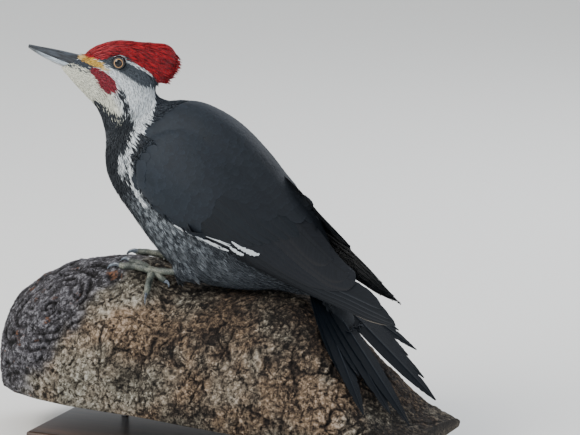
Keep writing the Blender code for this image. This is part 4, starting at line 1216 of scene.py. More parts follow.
def nasal_bristles():
    """Stiff pale bristles that point forward over the nostrils."""
    rng = np.random.default_rng(21)
    count = 420
    side = np.where(rng.random(count) < 0.5, -1.0, 1.0)
    drop = rng.random(count)
    ahead = rng.uniform(19.5, 27.0, count)
    root_y = side * np.interp(drop, (0, 0.4, 1), (5.2, 6.2, 6.9))
    root_z = np.interp(drop, (0, 0.4, 1), (-2.4, -3.6, -6.6)) + (24.0 - ahead) * 0.10
    length = rng.uniform(3.5, 6.5, count)
    t = np.linspace(0, 1, 4)
    line = []
    for s in t:
        f = ahead + length * s
        bill_half = np.interp(f, (24, 31, 39), (6.2, 6.0, 5.2))
        y = side * (np.abs(root_y) + (np.minimum(bill_half, np.abs(root_y) + 0.4) - np.abs(root_y)) * s + 0.35)
        z = root_z + (np.interp(drop, (0, 1), (-4.2, -6.4)) - root_z) * s * 0.75
        line.append(on_head(f, y, z + 0.25))
    line = np.stack(line, 1)
    out = unit(side[:, None] * HEAD_AXES[:, 1] * 0.8 + HEAD_AXES[:, 2] * 0.6)
    out = np.repeat(out[:, None], 4, 1)
    way = unit(line[:, -1] - line[:, 0])
    across = np.repeat(unit(np.cross(way, out[:, 0]))[:, None], 4, 1)
    width = 0.26 * MM * rng.uniform(0.7, 1.2, count)
    shape = np.array((0.0, 1.0, 0.75, 0.0))
    pale = np.where((drop < 0.12)[:, None], PAINT["amber"], PAINT["yellow"])
    mix = rng.uniform(0, 0.45, count)[:, None]
    pale = pale * (1 - mix) + PAINT["cream"] * mix * 0.8
    # Each bristle is painted darker at its root, as painted shade.
    tone = pale[:, None, :] * np.array((0.6, 0.9, 1.0, 0.9))[None, :, None]
    spot = np.stack([0.64 + 0.01 * side, 0.02 + 0.9 * drop], -1)
    return build_locks("nasal_bristles", line, across, out, width[:, None] * shape, width[:, None] * shape * 0.6, tone,
                       spot)


def stripe_line(tips, colour, guide):
    """Whitens the feathers whose tips make the thin line running down from the neck stripe before the wing."""
    near, _ = guide.nearest(tips)
    path = [(a, b / 14) for a, b in STRIPE_FORKS[1]]
    across = off_line(path, guide.first[near], np.degrees(np.abs(guide.second[near])) / 14)
    return np.where(((guide.kinds[near] == 0) & (across < 0.20))[:, None], PAINT["white"], colour)


def neck_ruff():
    """Longer silky feathers of the neck."""
    guide = guide_of_plumage()

    def spacing(near):
        return np.interp(guide.first[near], (7.0, 10.0, 11.4), (1.1, 1.25, 1.5))

    def keep(near, _):
        station = guide.first[near]
        mantle = (np.abs(guide.second[near]) < math.radians(72)) & (station > 9.2)
        return (guide.kinds[near] == 0) & (station >= 7.2) & (station < 11.0) & ~mantle

    place, normal, near, rng = scatter(13, spacing, keep)
    station = guide.first[near]
    count = len(place)
    lie = unit(guide.lies[near] + rng.normal(0, 0.10, (count, 3)))
    length = np.interp(station, (7.0, 11.4), (9.5, 13.0)) * MM * rng.uniform(0.8, 1.2, count)
    depth = coat_depth(station) * rng.uniform(0.6, 1.05, count)
    line, side, out = lay_down(place, normal, lie, length, 4, 0.2)
    line = line + out * (depth[:, None] * np.array((0.0, 0.4, 0.75, 1.0))[None, :] - 0.3 * MM)[..., None]
    colour, _, _ = plumage_marks(line[:, 2] * 0.4 + line[:, 3] * 0.6, guide, rng, 0.6)
    colour = stripe_line(line[:, 3], colour, guide)
    width = np.interp(station, (7.0, 11.4), (0.42, 0.62)) * MM * rng.uniform(0.8, 1.25, count)
    # High on the neck the roots lie in deeper shade.
    fade = np.tile((0.5, 0.85, 1.0, 1.1), (count, 1))
    fade[:, 0] = np.interp(station, (8.5, 10.5), (0.5, 0.92))
    uneven = 1 + rng.normal(0, 1, count) * np.interp(station, (8.5, 10.5), (0.10, 0.05))
    tone = np.minimum(colour[:, None, :] * fade[..., None] * uneven[:, None, None], 0.93)
    shape = np.array((0.0, 1.0, 0.85, 0.0))
    return build_locks("neck_feathers", line, side, out, width[:, None] * shape,
                       width[:, None] * shape * 0.45, tone, guide.spots[near])


def upper_tone(places, rng):
    """Slate over the shoulders and upper back, turning to brownish black towards the tail; the lighter bluish slate in
    front is partly painted sheen.
    """
    brown = np.clip((places[:, 0] + 0.045) / 0.085 + rng.normal(0, 0.07, len(places)), 0, 1)[:, None]
    return PAINT["covert"] * (1 - brown) + PAINT["brown"] * brown


def contour_coat(name, low, high, belly, seed):
    """Overlapping contour feathers of the back or the underside, between two stations."""
    guide = guide_of_plumage()

    def spacing(near):
        if not belly:
            return np.interp(guide.first[near], (9.0, 10.8, 13, 19, 22), (1.7, 2.3, 3.4, 3.8, 2.8))
        small = (guide.first[near] < 16) & (np.abs(guide.second[near]) > math.radians(95))
        return np.interp(guide.first[near], (10.8, 13, 19, 22), (2.1, 2.45, 2.5, 2.2)) * np.where(small, 0.82, 1.0)

    def keep(near, place):
        station = guide.first[near]
        under = np.abs(guide.second[near]) > math.radians(75)
        wanted = (guide.kinds[near] == 0) & (station >= low) & (station < high) & (under == belly)
        # None grow beneath the folded wings.
        reach = np.array([guide.wing_tree.find(p)[2] if w else 0.0 for p, w in zip(place, wanted)])
        return wanted & (reach > np.where(station < 13.5, 2.0, 4.6) * MM)

    place, normal, near, rng = scatter(seed, spacing, keep)
    station = guide.first[near]
    count = len(place)
    lie = unit(guide.lies[near] + rng.normal(0, 0.06 if belly else 0.025, (count, 3)))
    long = (12.5, 16.0, 18.0, 15.0) if belly else (13.5, 17.5, 21.0, 16.0)
    length = np.interp(station, (10.8, 13, 19, 22), long) * MM * rng.uniform(0.85, 1.15, count)
    length = np.minimum(length, np.maximum((LAST_STATION - station) * 18.0, 0) * MM + 5 * MM)
    line, side, out = lay_down(place, normal, lie, length, 4, 0.15)
    # Near the wings they lie over the bases of the wing feathers, but none pushes through a wing from below.
    off_wing = np.array([guide.wing_tree.find(p)[2] for p in line[:, 3]])
    kept = (off_wing > 3.4 * MM) | (station < 15)
    place, station, near, length, off_wing = (a[kept] for a in (place, station, near, length, off_wing))
    line, side, out = line[kept], side[kept], out[kept]
    count = len(place)
    depth = coat_depth(station) * rng.uniform(0.75 if belly else 0.96, 1.0, count)
    colour, fringe, _ = plumage_marks(line[:, 2], guide, rng, 0.9)
    colour = stripe_line(line[:, 3], colour, guide)
    half = np.interp(station, (10.8, 13, 19, 22), (2.4, 3.4, 3.6, 2.8)) * MM * rng.uniform(0.88, 1.12, count)
    if not belly:
        depth = np.where(off_wing < 6.0 * MM, np.maximum(depth, 3.0 * MM), depth)
        heights = depth[:, None] * np.array((0.0, 0.82, 0.96, 1.0))[None, :] - 0.2 * MM
        tone = upper_tone(line[:, 2], rng)
        return build_vanes(name, line, side, out, heights, half * 1.35, tone, guide.spots[near], rng)
    heights = depth[:, None] * np.array((0.0, 0.45, 0.85, 1.0))[None, :] - 0.3 * MM
    half *= np.where((station < 16) & (np.abs(guide.second[near]) > math.radians(95)), 0.52, 0.66)
    return build_fans(name, line, side, out, heights, half, colour, fringe, guide.spots[near], rng)


def wing_coverts():
    """Smooth scale-like coverts from the bend of each wing back over the roots of the flight feathers."""
    guide = guide_of_plumage()

    def spacing(near):
        return np.interp(guide.first[near], (0, 0.12, 0.3, 0.45), (2.0, 3.2, 4.6, 5.2))

    def keep(near, _):
        share = guide.first[near]
        return (guide.kinds[near] >= 2) & (share < 0.30 + 0.16 * np.clip(1 - guide.second[near] / 0.35, 0, 1))

    place, normal, near, rng = scatter(15, spacing, keep)
    share = guide.first[near]
    count = len(place)
    lie = unit(guide.lies[near] + rng.normal(0, 0.03, (count, 3)))
    length = np.interp(share, (0, 0.1, 0.24, 0.45), (8.0, 15.0, 25.0, 29.0)) * MM * rng.uniform(0.9, 1.1, count)
    heights = np.array((-0.3, 2.3, 2.72, 2.82))[None, :] * MM * rng.uniform(0.97, 1.0, count)[:, None]
    line, side, out = lay_down(place, normal, lie, length, 4, 0.1)
    colour = upper_tone(line[:, 2], rng)
    half = np.interp(share, (0, 0.1, 0.24, 0.45), (2.6, 4.4, 7.0, 7.6)) * MM * rng.uniform(0.92, 1.08, count)
    return build_vanes("wing_coverts", line, side, out, heights, half, colour, guide.spots[near], rng)


def sheet_arrays(parts):
    """Joins flight feathers into arrays: a top and an under face for each, closed round the edge."""
    verts, quads, shades, bakes, vanes = [], [], [], [], []
    start = 0
    for place_of, t, cols, thick, colour, spot_box, length in parts:
        rows, wide = len(t), len(cols)
        top, normal = place_of
        under = top - normal * thick[:, None, None]
        grid = np.arange(rows * wide).reshape(rows, wide)
        a, b, c, d = grid[:-1, :-1], grid[1:, :-1], grid[1:, 1:], grid[:-1, 1:]
        face = np.stack([a, d, c, b], -1).reshape(-1, 4)
        rim = np.concatenate([grid[0, :], grid[1:, -1], grid[-1, -2::-1], grid[-2:0:-1, 0]])
        after = np.roll(rim, -1)
        count = rows * wide
        wall = np.stack([rim, rim + count, after + count, after], -1)
        quads.append(np.concatenate([face, face[:, ::-1] + count, wall]) + start)
        verts.append(np.concatenate([top.reshape(-1, 3), under.reshape(-1, 3)]))
        # The under faces are painted darker than the top, as painted shade.
        shades.append(np.concatenate([colour.reshape(-1, 3), colour.reshape(-1, 3) * 0.8]))
        left, low, w, h = spot_box
        u = np.broadcast_to((cols + 1) / 2, (rows, wide))
        v = np.broadcast_to(t[:, None], (rows, wide))
        bake = np.stack([left + w * 0.48 * u, low + h * v], -1).reshape(-1, 2)
        bakes.append(np.concatenate([bake, bake + (w * 0.5, 0)]))
        vane = np.stack([u, v * length / MM], -1).reshape(-1, 2)
        vanes.append(np.concatenate([vane, vane]))
        start += count * 2
    return (np.concatenate(a) for a in (verts, quads, shades, bakes, vanes))


def sheet_mesh(name, parts):
    """One mesh of all the stiff feathers in parts, with crisp edges."""
    verts, quads, shades, bakes, vanes = sheet_arrays(parts)
    mesh = mesh_from_arrays(name, verts, (quads,))
    bm = bmesh.new()
    bm.from_mesh(mesh)
    bmesh.ops.recalc_face_normals(bm, faces=bm.faces)
    bm.to_mesh(mesh)
    bm.free()
    set_colours(mesh, shades)
    set_uv(mesh, "OFBake", bakes)
    set_uv(mesh, "vane", vanes)
    mesh.set_sharp_from_angle(angle=math.radians(60))
    return mesh


# Flight feathers of a folded wing, as root (share, across), tip (share, across), the widths in millimetres of the vane
# towards the upper and the lower edge, and whether the tip is worn pale. They are listed from the lowest to the top.
PRIMARIES = (
    ((0.36, 0.92), (0.845, 0.985), 6.5, 2.6, 0),
    ((0.36, 0.88), (0.905, 0.955), 7.0, 3.0, 1),
    ((0.36, 0.84), (0.955, 0.86), 7.5, 3.2, 1),
    ((0.36, 0.78), (0.985, 0.74), 8.0, 3.4, 0),
    ((0.37, 0.71), (1.0, 0.56), 8.5, 3.6, 0),
    ((0.38, 0.63), (0.995, 0.38), 8.5, 3.8, 0),
    ((0.40, 0.55), (0.965, 0.24), 8.5, 4.2, 0),
    ((0.40, 0.48), (0.925, 0.14), 8.5, 4.6, 0),
)
SECONDARIES = (
    ((0.30, 0.66), (0.695, 0.50), 9.0, 6.0, 0),
    ((0.30, 0.58), (0.725, 0.41), 9.5, 6.5, 0),
    ((0.30, 0.50), (0.752, 0.33), 10.0, 7.0, 0),
    ((0.29, 0.42), (0.778, 0.24), 10.0, 7.5, 0),
    ((0.28, 0.34), (0.797, 0.16), 10.0, 8.0, 0),
)
TERTIALS = (
    ((0.25, 0.30), (0.802, 0.09), 8.5, 11.0, 0),
    ((0.23, 0.22), (0.765, 0.035), 7.5, 12.0, 0),
    ((0.21, 0.16), (0.685, 0.02), 6.5, 11.5, 0),
)
COVERTS = tuple(
    ((0.12 + 0.012 * i, 0.86 - 0.085 * i), (0.455 + 0.014 * i, 0.80 - 0.085 * i), 8.0, 6.5, 0) for i in range(9)
)
# For each kind of flight feather: height of its middle and tilt in millimetres, bow, bluntness, how much its lower
# edge is painted paler, as wear and painted highlight, and its colour.
WING_ROWS = {
    "primary": (PRIMARIES, -0.80, 0.55, 0.03, 0.30, 0.55, "#14171b"),
    "secondary": (SECONDARIES, -0.45, 0.50, -0.03, 0.16, 0.08, "#181b20"),
    "tertial": (TERTIALS, -0.25, 0.40, -0.03, 0.20, 0.12, "#1b1d21"),
    "covert": (COVERTS, 0.02, 0.30, 0.0, 0.34, 0.04, "#171c21"),
}


def wing_feather(side, number, group, root, tip, upper, lower, pale):
    """One flight feather of a folded wing, laid on the wing's face like a roof tile."""
    _, lay, tile, bow, blunt, edge_highlight_and_wear, tint = WING_ROWS[group]
    rng = np.random.default_rng(300 + number * 7 + (50 if side > 0 else 0))
    rows = 48
    t = np.linspace(0, 1, rows)
    share = root[0] + (tip[0] - root[0]) * t
    # The far wing's tip is shut tighter than the near one's.
    end_across = 0.02 + 0.75 * tip[1] if side > 0 and group == "primary" else tip[1]
    across = root[1] + (end_across - root[1]) * t**1.15 + bow * np.sin(math.pi * t)
    cols = np.array((-1.0, -0.8, -0.45, -0.06, 0.0, 0.06, 0.40, 0.72, 0.86, 1.0))
    end = np.clip((1 - t) / blunt, 0, 1)
    grow = np.interp(t, (0, 0.25, 1), (0.45, 1.0, 0.66 if group == "primary" else 0.96))
    ends = (grow * np.sqrt(1 - (1 - end) ** 2.2))[:, None] * np.where(cols[None, :] < 0, upper, lower) * MM
    fray = 1 - 0.25 * np.clip(rng.random((rows, 2)) - 0.75, 0, 1)
    ends[:, 0] *= fray[:, 0]
    ends[:, -1] *= fray[:, 1]
    span = wing_surface(side, share, np.ones(rows)) - wing_surface(side, share, np.zeros(rows))
    down = across[:, None] + cols[None, :] * ends / (np.linalg.norm(span, axis=1) * 1.12)[:, None]
    down = np.clip(down, -0.06, 1.05)
    at = np.broadcast_to(share[:, None], down.shape)
    place = wing_surface(side, at, down)
    normal = wing_normal(side, at, np.clip(down, 0.0, 1.0))
    emerge = np.interp(t, (0, 0.35, 1), (-1.7, 0.0, 0.0))
    shaft = np.where(np.abs(cols) < 0.03, 0.18, 0.0) * np.interp(t, (0, 1), (1.0, 0.3))[:, None]
    height = (lay + emerge)[:, None] + tile * cols[None, :] + shaft - 0.20 * np.abs(cols[None, :]) ** 4
    top = place + normal * height[..., None] * MM
    colour = np.tile(np.array(linear(tint)) * (1 + 0.07 * rng.normal()), (rows, len(cols), 1))
    # The lower edge is painted paler and browner towards the tip: partly wear, partly a painted highlight where the
    # edge catches the light.
    worn = edge_highlight_and_wear * np.clip((cols - 0.70) / 0.16, 0, 1)[None, :, None]
    worn = worn * np.interp(t, (0.4, 0.7, 1.0), (0.1, 0.6, 1.0))[:, None, None]
    colour = colour * (1 - worn) + np.array(linear("#50545a" if group == "primary" else "#554d46")) * worn
    colour = np.where((np.abs(cols) < 0.03)[None, :, None], np.array(linear("#141416")), colour)
    if pale:
        tipped = np.clip((t - 0.86) / 0.05, 0, 1)[:, None, None] * np.clip((cols - 0.45) / 0.3, 0, 1)[None, :, None]
        colour = colour * (1 - tipped) + np.array(linear("#b9ad9b")) * tipped
    box = (0.02 + 0.038 * number, 0.02 if side < 0 else 0.52, 0.034, 0.44)
    length = np.linalg.norm(np.diff(place[:, 5], axis=0), axis=1).sum()
    return (top, normal), t, cols, np.full(rows, 0.16 * MM), colour, box, length


def wing_quills(side):
    """All the flight feathers and greater coverts of one wing."""
    parts = []
    for group, (feathers, *_) in WING_ROWS.items():
        for feather in feathers:
            parts.append(wing_feather(side, len(parts), group, *feather))
    return sheet_mesh("flight_feathers_" + ("left" if side < 0 else "right"), parts)


# White bases of the primaries that show as slips along the lower edge of the wing: path and width in millimetres.
WHITE_SLIPS = (
    (((0.285, 1.0), (0.34, 0.985), (0.387, 0.965), (0.425, 0.93), (0.453, 0.885)), 2.2),
    (((0.385, 0.87), (0.415, 0.83), (0.44, 0.795), (0.456, 0.775)), 1.2),
    (((0.405, 0.84), (0.43, 0.79), (0.45, 0.745)), 0.9),
    (((0.448, 0.69), (0.475, 0.68), (0.50, 0.655), (0.52, 0.60)), 3.0),
    (((0.452, 0.80), (0.475, 0.80), (0.49, 0.775)), 2.2),
)


def white_slips(side):
    """White feather bases that show between the coverts and the primaries."""
    parts = []
    for number, (path, half) in enumerate(WHITE_SLIPS):
        rng = np.random.default_rng(500 + number)
        rows = 22
        t = np.linspace(0, 1, rows)
        at = spline(path, t * (len(path) - 1))
        cols = np.array((-1.0, -0.6, -0.2, 0.2, 0.6, 1.0))
        grow = np.sin(math.pi * np.clip(t * 0.94 + 0.03, 0, 1)) ** 0.55
        jag = 1 + 0.25 * rng.normal(0, 1, (rows, 2))
        shift = cols[None, :] * grow[:, None] * half * MM
        shift[:, 0] *= jag[:, 0]
        shift[:, -1] *= jag[:, 1]
        span = wing_surface(side, at[:, 0], np.ones(rows)) - wing_surface(side, at[:, 0], np.zeros(rows))
        span = np.linalg.norm(span, axis=1) * 1.12
        down = np.clip(at[:, 1:2] + shift / span[:, None], -0.05, 1.03)
        share = np.broadcast_to(at[:, 0:1], down.shape)
        place = wing_surface(side, share, down)
        normal = wing_normal(side, share, np.clip(down, 0, 1))
        height = 0.25 - 0.3 * cols**2
        top = place + normal * height[None, :, None] * MM
        # The white is painted greyer, in uneven streaks along the slip, as painted shade between the coverts and the
        # primaries.
        colour = np.tile(PAINT["white"] * 0.9, (rows, len(cols), 1)) * (1 - 0.35 * rng.random((1, len(cols), 1)))
        box = (0.02 + 0.1 * number, 0.02 if side < 0 else 0.52, 0.09, 0.44)
        length = np.linalg.norm(np.diff(place[:, 2], axis=0), axis=1).sum()
        parts.append(((top, normal), t, cols, np.full(rows, 0.5 * MM), colour, box, length))
    return sheet_mesh("wing_slips_" + ("left" if side < 0 else "right"), parts)


def tail_feathers():
    """The ten stiff feathers that brace the bird: strong shafts, pointed worn tips, splayed as it leans on them."""
    parts = []
    cols = np.array((-1.0, -0.85, -0.6, -0.3, -0.07, 0.0, 0.07, 0.3, 0.6, 0.85, 1.0))
    rows = 80
    t = np.linspace(0, 1, rows)
    for number, (angle, length, half) in enumerate(RECTRICES):
        rng = np.random.default_rng(700 + number)
        x = 16.0 + (length - 16.0) * t
        shape = ((0, 0.48), (0.2, 0.82), (0.4, 0.98), (0.58, 0.97), (0.74, 0.82), (0.9, 0.46), (1, 0.07))
        wide = read(shape, t) * half
        # Barbs part near the tip, so each edge is cut by slits that slant forward; short feathers are the most worn.
        worn_out = 1.0 if length > 115 else 2.2
        fray = np.ones((rows, 2))
        for edge in (0, 1):
            slit = (rng.random(rows) < np.interp(t, (0.3, 0.7, 1.0), (0.0, 0.05, 0.30)) * worn_out) * rng.random(rows)
            fray[:, edge] -= slit * np.interp(t, (0.3, 1.0), (0.06, 0.34))
        # Vane on the outer side of each feather is the narrower one.
        y = cols[None, :] * wide[:, None] * np.where(cols * angle > 0, 0.94, 1.0)[None, :]
        y[:, 0] *= fray[:, 0]
        y[:, -1] *= fray[:, 1]
        sag = -3.0 * (x / RECTRICES[0][1]) ** 2
        shaft = np.where(np.abs(cols) < 0.03, 0.40, np.where(np.abs(cols) < 0.1, 0.05, 0.0))
        shaft = shaft[None, :] * np.interp(t, (0, 0.8, 1), (1.2, 0.6, 0.15))[:, None]
        furrow = -0.10 * (1 - (2 * np.abs(cols) - 1) ** 2)[None, :]
        curl = -0.035 * np.abs(cols[None, :]) ** 2 * wide[:, None]
        drop = -0.75 * (number // 2) - (0.35 if angle < 0 else 0.0) + 0.05
        a = math.radians(angle)
        local = np.empty((rows, len(cols), 3))
        local[..., 0] = x[:, None] * math.cos(a) - y * math.sin(a)
        local[..., 1] = x[:, None] * math.sin(a) + y * math.cos(a)
        local[..., 2] = sag[:, None] + shaft + furrow + curl + drop
        top = on_tail(local)
        normal = np.broadcast_to(TAIL[:3, 2], top.shape)
        colour = np.tile(np.array(linear("#070c12")), (rows, len(cols), 1)) * (1 + 0.06 * rng.normal())
        quill = (np.abs(cols) < 0.03)[None, :, None]
        pale = np.array(linear("#484e56")) * np.interp(t, (0, 0.5, 1), (1.1, 0.7, 0.2))[:, None, None]
        colour = np.where(quill, pale, colour)
        worn = (np.interp(t, (0.82, 1.0), (0, 0.4))[:, None] * np.abs(cols)[None, :])[..., None]
        colour = colour * (1 - worn) + np.array(linear("#302d2a")) * worn
        box = (0.02 + 0.097 * number, 0.02, 0.09, 0.95)
        thick = np.interp(t, (0, 0.6, 1), (0.7, 0.45, 0.3)) * MM
        parts.append(((top, normal), t, cols, thick, colour, box, (length - 16) * MM))
    return sheet_mesh("tail_feathers", parts)


# Bill, eyes and feet


def bill_piece(upper):
    """One half of the bill: a ridged chisel with a groove above its cutting edge, or the keeled lower half."""
    rings, stations = [], np.linspace(0, len(BILL_SECTIONS) - 1, 60)
    count = 30
    for station in stations:
        ahead, culmen, edge, keel, width = spline(BILL_SECTIONS, station)
        split = 0.12
        angle = math.pi * np.arange(count) / (count - 1)
        if upper:
            flat, height, half = edge + split, culmen - edge - split, width
        else:
            flat, height, half = edge - split, keel - edge + split, width * 0.94
        side = np.sign(np.cos(angle)) * np.abs(np.cos(angle)) ** 0.9
        rise = np.sin(angle) ** 1.25
        # A ridge runs forward from each nostril to the cutting edge, with a hollow above it.
        run = np.clip((ahead - 27) / 40, 0, 1)
        ridge = np.exp(-((rise - (0.62 - 0.5 * run)) / 0.10) ** 2) * (0.30 - 0.2 * run) if upper else 0.0
        hollow = -np.exp(-((rise - (0.82 - 0.45 * run)) / 0.12) ** 2) * 0.22 if upper else 0.0
        grow = (ridge + hollow) * np.abs(np.cos(angle)) ** 0.3
        y = half * side + np.sign(side) * grow
        z = flat + height * rise
        rings.append(on_head(np.full(count, ahead), y, z))
    bm = rings_to_bmesh(rings)
    name = "bill_upper_horn" if upper else "bill_lower_horn"
    item = bmesh_object(name, bm)
    mesh = item.data
    mesh.set_sharp_from_angle(angle=math.radians(55))
    co = np.array([v.co for v in mesh.vertices])
    local = from_head(co)
    ahead = local[:, 0]
    tint = np.ones((len(co), 3))
    edge = np.interp(ahead, [s[0] for s in BILL_SECTIONS], [s[2] for s in BILL_SECTIONS])
    if upper:
        near_edge = np.clip(1 - (local[:, 2] - edge) / 2.2, 0, 1)[:, None]
        tint = tint * (1 - near_edge * 0.25)
        tip = np.clip((ahead - 62) / 8, 0, 1)[:, None]
        tint = tint * (1 + tip * 0.35)
    else:
        tip = np.clip((ahead - 59) / 7, 0, 1)[:, None]
        tint = tint * (1 - tip * 0.80)
        # Its keel is warmer and paler than its sides.
        keel = np.clip((edge - local[:, 2] - 2.4) / 1.6, 0, 1)[:, None]
        tint = tint * (1 - keel * np.array((0.0, 0.12, 0.22)))
    set_colours(mesh, tint)
    return item


def eyeball(side_name):
    """A smooth eye with a slightly bulging cornea."""
    middle, radius, axis = eye_socket(side_name)
    bm = bmesh.new()
    bmesh.ops.create_icosphere(bm, subdivisions=5, radius=radius)
    for vert in bm.verts:
        vert.co *= 1 + 0.08 * max(vert.co.normalized().z - 0.75, 0.0)
    turn = axis.to_track_quat("Z", "Y").to_matrix().to_4x4()
    bmesh.ops.transform(bm, matrix=Matrix.Translation(middle) @ turn, verts=bm.verts)
    return bmesh_object("eyeball_" + side_name, bm)


def eyelids(side_name, opening, rim):
    """The ring of bare lids round an eye: spun from a small rounded profile, a little drawn out fore and aft."""
    middle, ball, axis = eye_socket(side_name)
    bm = bmesh.new()
    verts = []
    inner, outer = math.asin(opening / ball), math.asin(min(rim / ball, 0.97))
    profile = 12
    for i in range(profile):
        a = math.tau * i / profile
        lean = (inner + outer) / 2 + (outer - inner) / 2 * math.cos(a)
        reach = ball + 0.10 * MM + 0.42 * MM * math.sin(a)
        verts.append(bm.verts.new((reach * math.sin(lean), 0, reach * math.cos(lean))))
    edges = [bm.edges.new((verts[i], verts[(i + 1) % profile])) for i in range(profile)]
    bmesh.ops.spin(bm, geom=verts + edges, cent=(0, 0, 0), axis=(0, 0, 1), angle=math.tau, steps=72, use_merge=True)
    bmesh.ops.remove_doubles(bm, verts=bm.verts, dist=1e-6)
    for vert in bm.verts:
        around = math.atan2(vert.co.y, vert.co.x)
        vert.co.x *= 1 + 0.05 * math.cos(around) ** 2
        wrinkle = noise.noise(Vector((math.cos(around) * 5, math.sin(around) * 5, vert.co.z * 900)))
        vert.co *= 1 + 0.012 * wrinkle
    up = HEAD.to_3x3() @ Vector((0, 0, 1))
    along = up.cross(axis).normalized()
    turn = Matrix((along, up, axis)).transposed().to_4x4()
    bmesh.ops.transform(bm, matrix=Matrix.Translation(middle) @ turn, verts=bm.verts)
    bmesh.ops.recalc_face_normals(bm, faces=bm.faces)
    return bmesh_object("eyelids_" + side_name, bm)


def perch_floor(x):
    """Height of the perch's sawn underside at x, in millimetres."""
    (x0, z0), (x1, z1) = PERCH_FLAT
    return z0 + (z1 - z0) * (np.asarray(x, float) - x0) / (x1 - x0)


def perch_station(x):
    """Top height and half depth of the perch at x, in millimetres."""
    x = np.asarray(x, float)
    keys = np.array([r[0] for r in PERCH_SECTIONS])
    i = np.clip(np.searchsorted(keys, x, side="left") - 1, 0, len(keys) - 2)
    f = np.clip((x - keys[i]) / (keys[i + 1] - keys[i]), 0, 1)
    f = f * f * (3 - 2 * f) * 0.35 + f * 0.65
    rows = np.array(PERCH_SECTIONS)
    return (rows[i, 1] + (rows[i + 1, 1] - rows[i, 1]) * f,
            (rows[i, 2] + (rows[i + 1, 2] - rows[i, 2]) * f) * PERCH_HALF_DEPTH)


def perch_height(x, y):
    """Height of the perch's surface at a place seen from above, in millimetres."""
    top, depth = perch_station(x)
    base = perch_floor(x)
    arch = np.sqrt(np.maximum(1 - (np.asarray(y, float) / depth) ** 2, 0.0))
    return base + (top - base) * (arch + PERCH_UNDERCUT) / (1 + PERCH_UNDERCUT)


def toe_line(joint, heading, length, radius, joint_top):
    """Centre points of a toe on the bark, from the joint to its last pad, in millimetres."""
    ahead = np.array((-math.cos(heading), math.sin(heading)))
    points = []
    for k in range(5):
        flat = np.array(joint) + ahead * length * k / 4
        size = radius * (1 - 0.08 * k)
        slope = perch_height(*flat) - perch_height(*(flat + ahead))
        points.append((flat[0], flat[1], perch_height(*flat) + size * math.hypot(1.0, slope) + 0.7))
    points[0] = (joint[0], joint[1], joint_top)
    return np.array(points, float)


def tube_rings(points, radius_of, up, count, sides=16, flatten=1.0):
    """Rings round a curve through points. radius_of takes the share along it and the angle round from the top."""
    share = np.linspace(0, 1, count)
    line = spline(points, share * (len(points) - 1))
    way = unit(np.gradient(line, axis=0))
    out = unit(np.asarray(up, float) - way * dot(way, np.asarray(up, float)))
    side = np.cross(way, out)
    angle = np.linspace(0, math.tau, sides, endpoint=False)
    size = radius_of(share[:, None], angle[None, :])
    return (line[:, None] + out[:, None] * np.cos(angle)[None, :, None] * size[..., None]
            + side[:, None] * (np.sin(angle) * flatten)[None, :, None] * size[..., None])


def scuted(base, plates, pads):
    """Radius of a toe or shank: plates step along its upper side and soft pads swell its sole."""

    def radius(share, angle):
        top = np.clip(np.cos(angle), 0, 1) ** 0.7
        sole = np.clip(-np.cos(angle), 0, 1)
        saw = (share * plates) % 1.0
        step = top * (0.09 * (1 - saw) ** 0.6 - 0.03)
        swell = sole * 0.10 * np.sin(share * math.pi * pads) ** 2
        knuckle = 0.06 * np.cos(share * math.pi * pads * 2) * (1 - sole)
        return np.interp(share[:, 0], np.linspace(0, 1, len(base)), base)[:, None] * (1 + step + swell + knuckle) * MM

    return radius


def foot(side_name):
    """Scaled shank and four toes of one foot, and its four claws."""
    side = -1 if side_name == "left" else 1
    joint = FEET[side_name]
    radius = 2.9
    joint_top = float(perch_height(*joint)) + radius + 0.9
    centre = np.array((*joint, joint_top))
    heel = centre + (31.0, 0, 2.0)
    pieces, claws = bmesh.new(), bmesh.new()
    shank = np.array([centre + (heel - centre) * f for f in (0.0, 0.25, 0.5, 0.75, 0.9)])
    rings = tube_rings(shank * MM + BIRD_SHIFT, scuted((3.4, 2.7, 2.5, 2.8, 3.2), 9, 3), (0, 0, 1), 60)
    rings_to_bmesh(rings, pieces)
    for number, (angle, length, claw) in enumerate(TOES, 1):
        heading = math.radians(angle) * side
        path = toe_line(joint, heading, length, radius, joint_top)
        base = np.array((1.0, 0.98, 0.86, 0.9, 0.78)) * radius
        joints = {1: 2, 2: 3, 3: 4, 4: 4}[number]
        rings = tube_rings(path * MM + BIRD_SHIFT, scuted(base, int(length / 2.1), joints), (0, 0, 1), 64)
        tip = rings[-1].mean(0)
        way = unit(rings[-1].mean(0) - rings[-2].mean(0))
        closing = [tip + (rings[-1] - tip) * s + way * o * MM for s, o in ((0.85, 0.35), (0.55, 0.7))]
        rings_to_bmesh([*rings, *closing], pieces)
        forward = unit(path[-1] - path[-2])
        level = unit(np.array((forward[0], forward[1], 0)))
        slope = math.degrees(math.asin(forward[2]))
        place = path[-1] + forward * (0.3 + 1.65 * math.sin(math.radians(14.0)) - 0.9)
        points = []
        for k in range(7):
            points.append(place.copy())
            bend = math.radians(slope + 14.0 - 82.0 * k / 6)
            place = place + (level * math.cos(bend) + np.array((0, 0, math.sin(bend)))) * (claw + 0.9) / 6
        sizes = [1.65 * (1 - k / 6) ** 0.7 + 0.14 for k in range(7)]
        lift = 0.4 - min(p[2] - float(perch_height(p[0], p[1])) - r for p, r in zip(points, sizes))
        for k in range(2, 7):
            points[k][2] += max(lift, 0.0) * ((k - 1) / 5) ** 0.6

        def horn(share, around, sizes=sizes):
            taper = np.interp(share[:, 0], np.linspace(0, 1, 7), sizes)[:, None]
            return taper * (1.02 + 0.10 * np.cos(around)) * MM

        rings = tube_rings(np.array(points) * MM + BIRD_SHIFT, horn, (0, 0, 1), 26, 14, 0.72)
        rings_to_bmesh(rings, claws)
    return bmesh_object("toes_" + side_name, pieces), bmesh_object("claws_" + side_name, claws)


# Perch


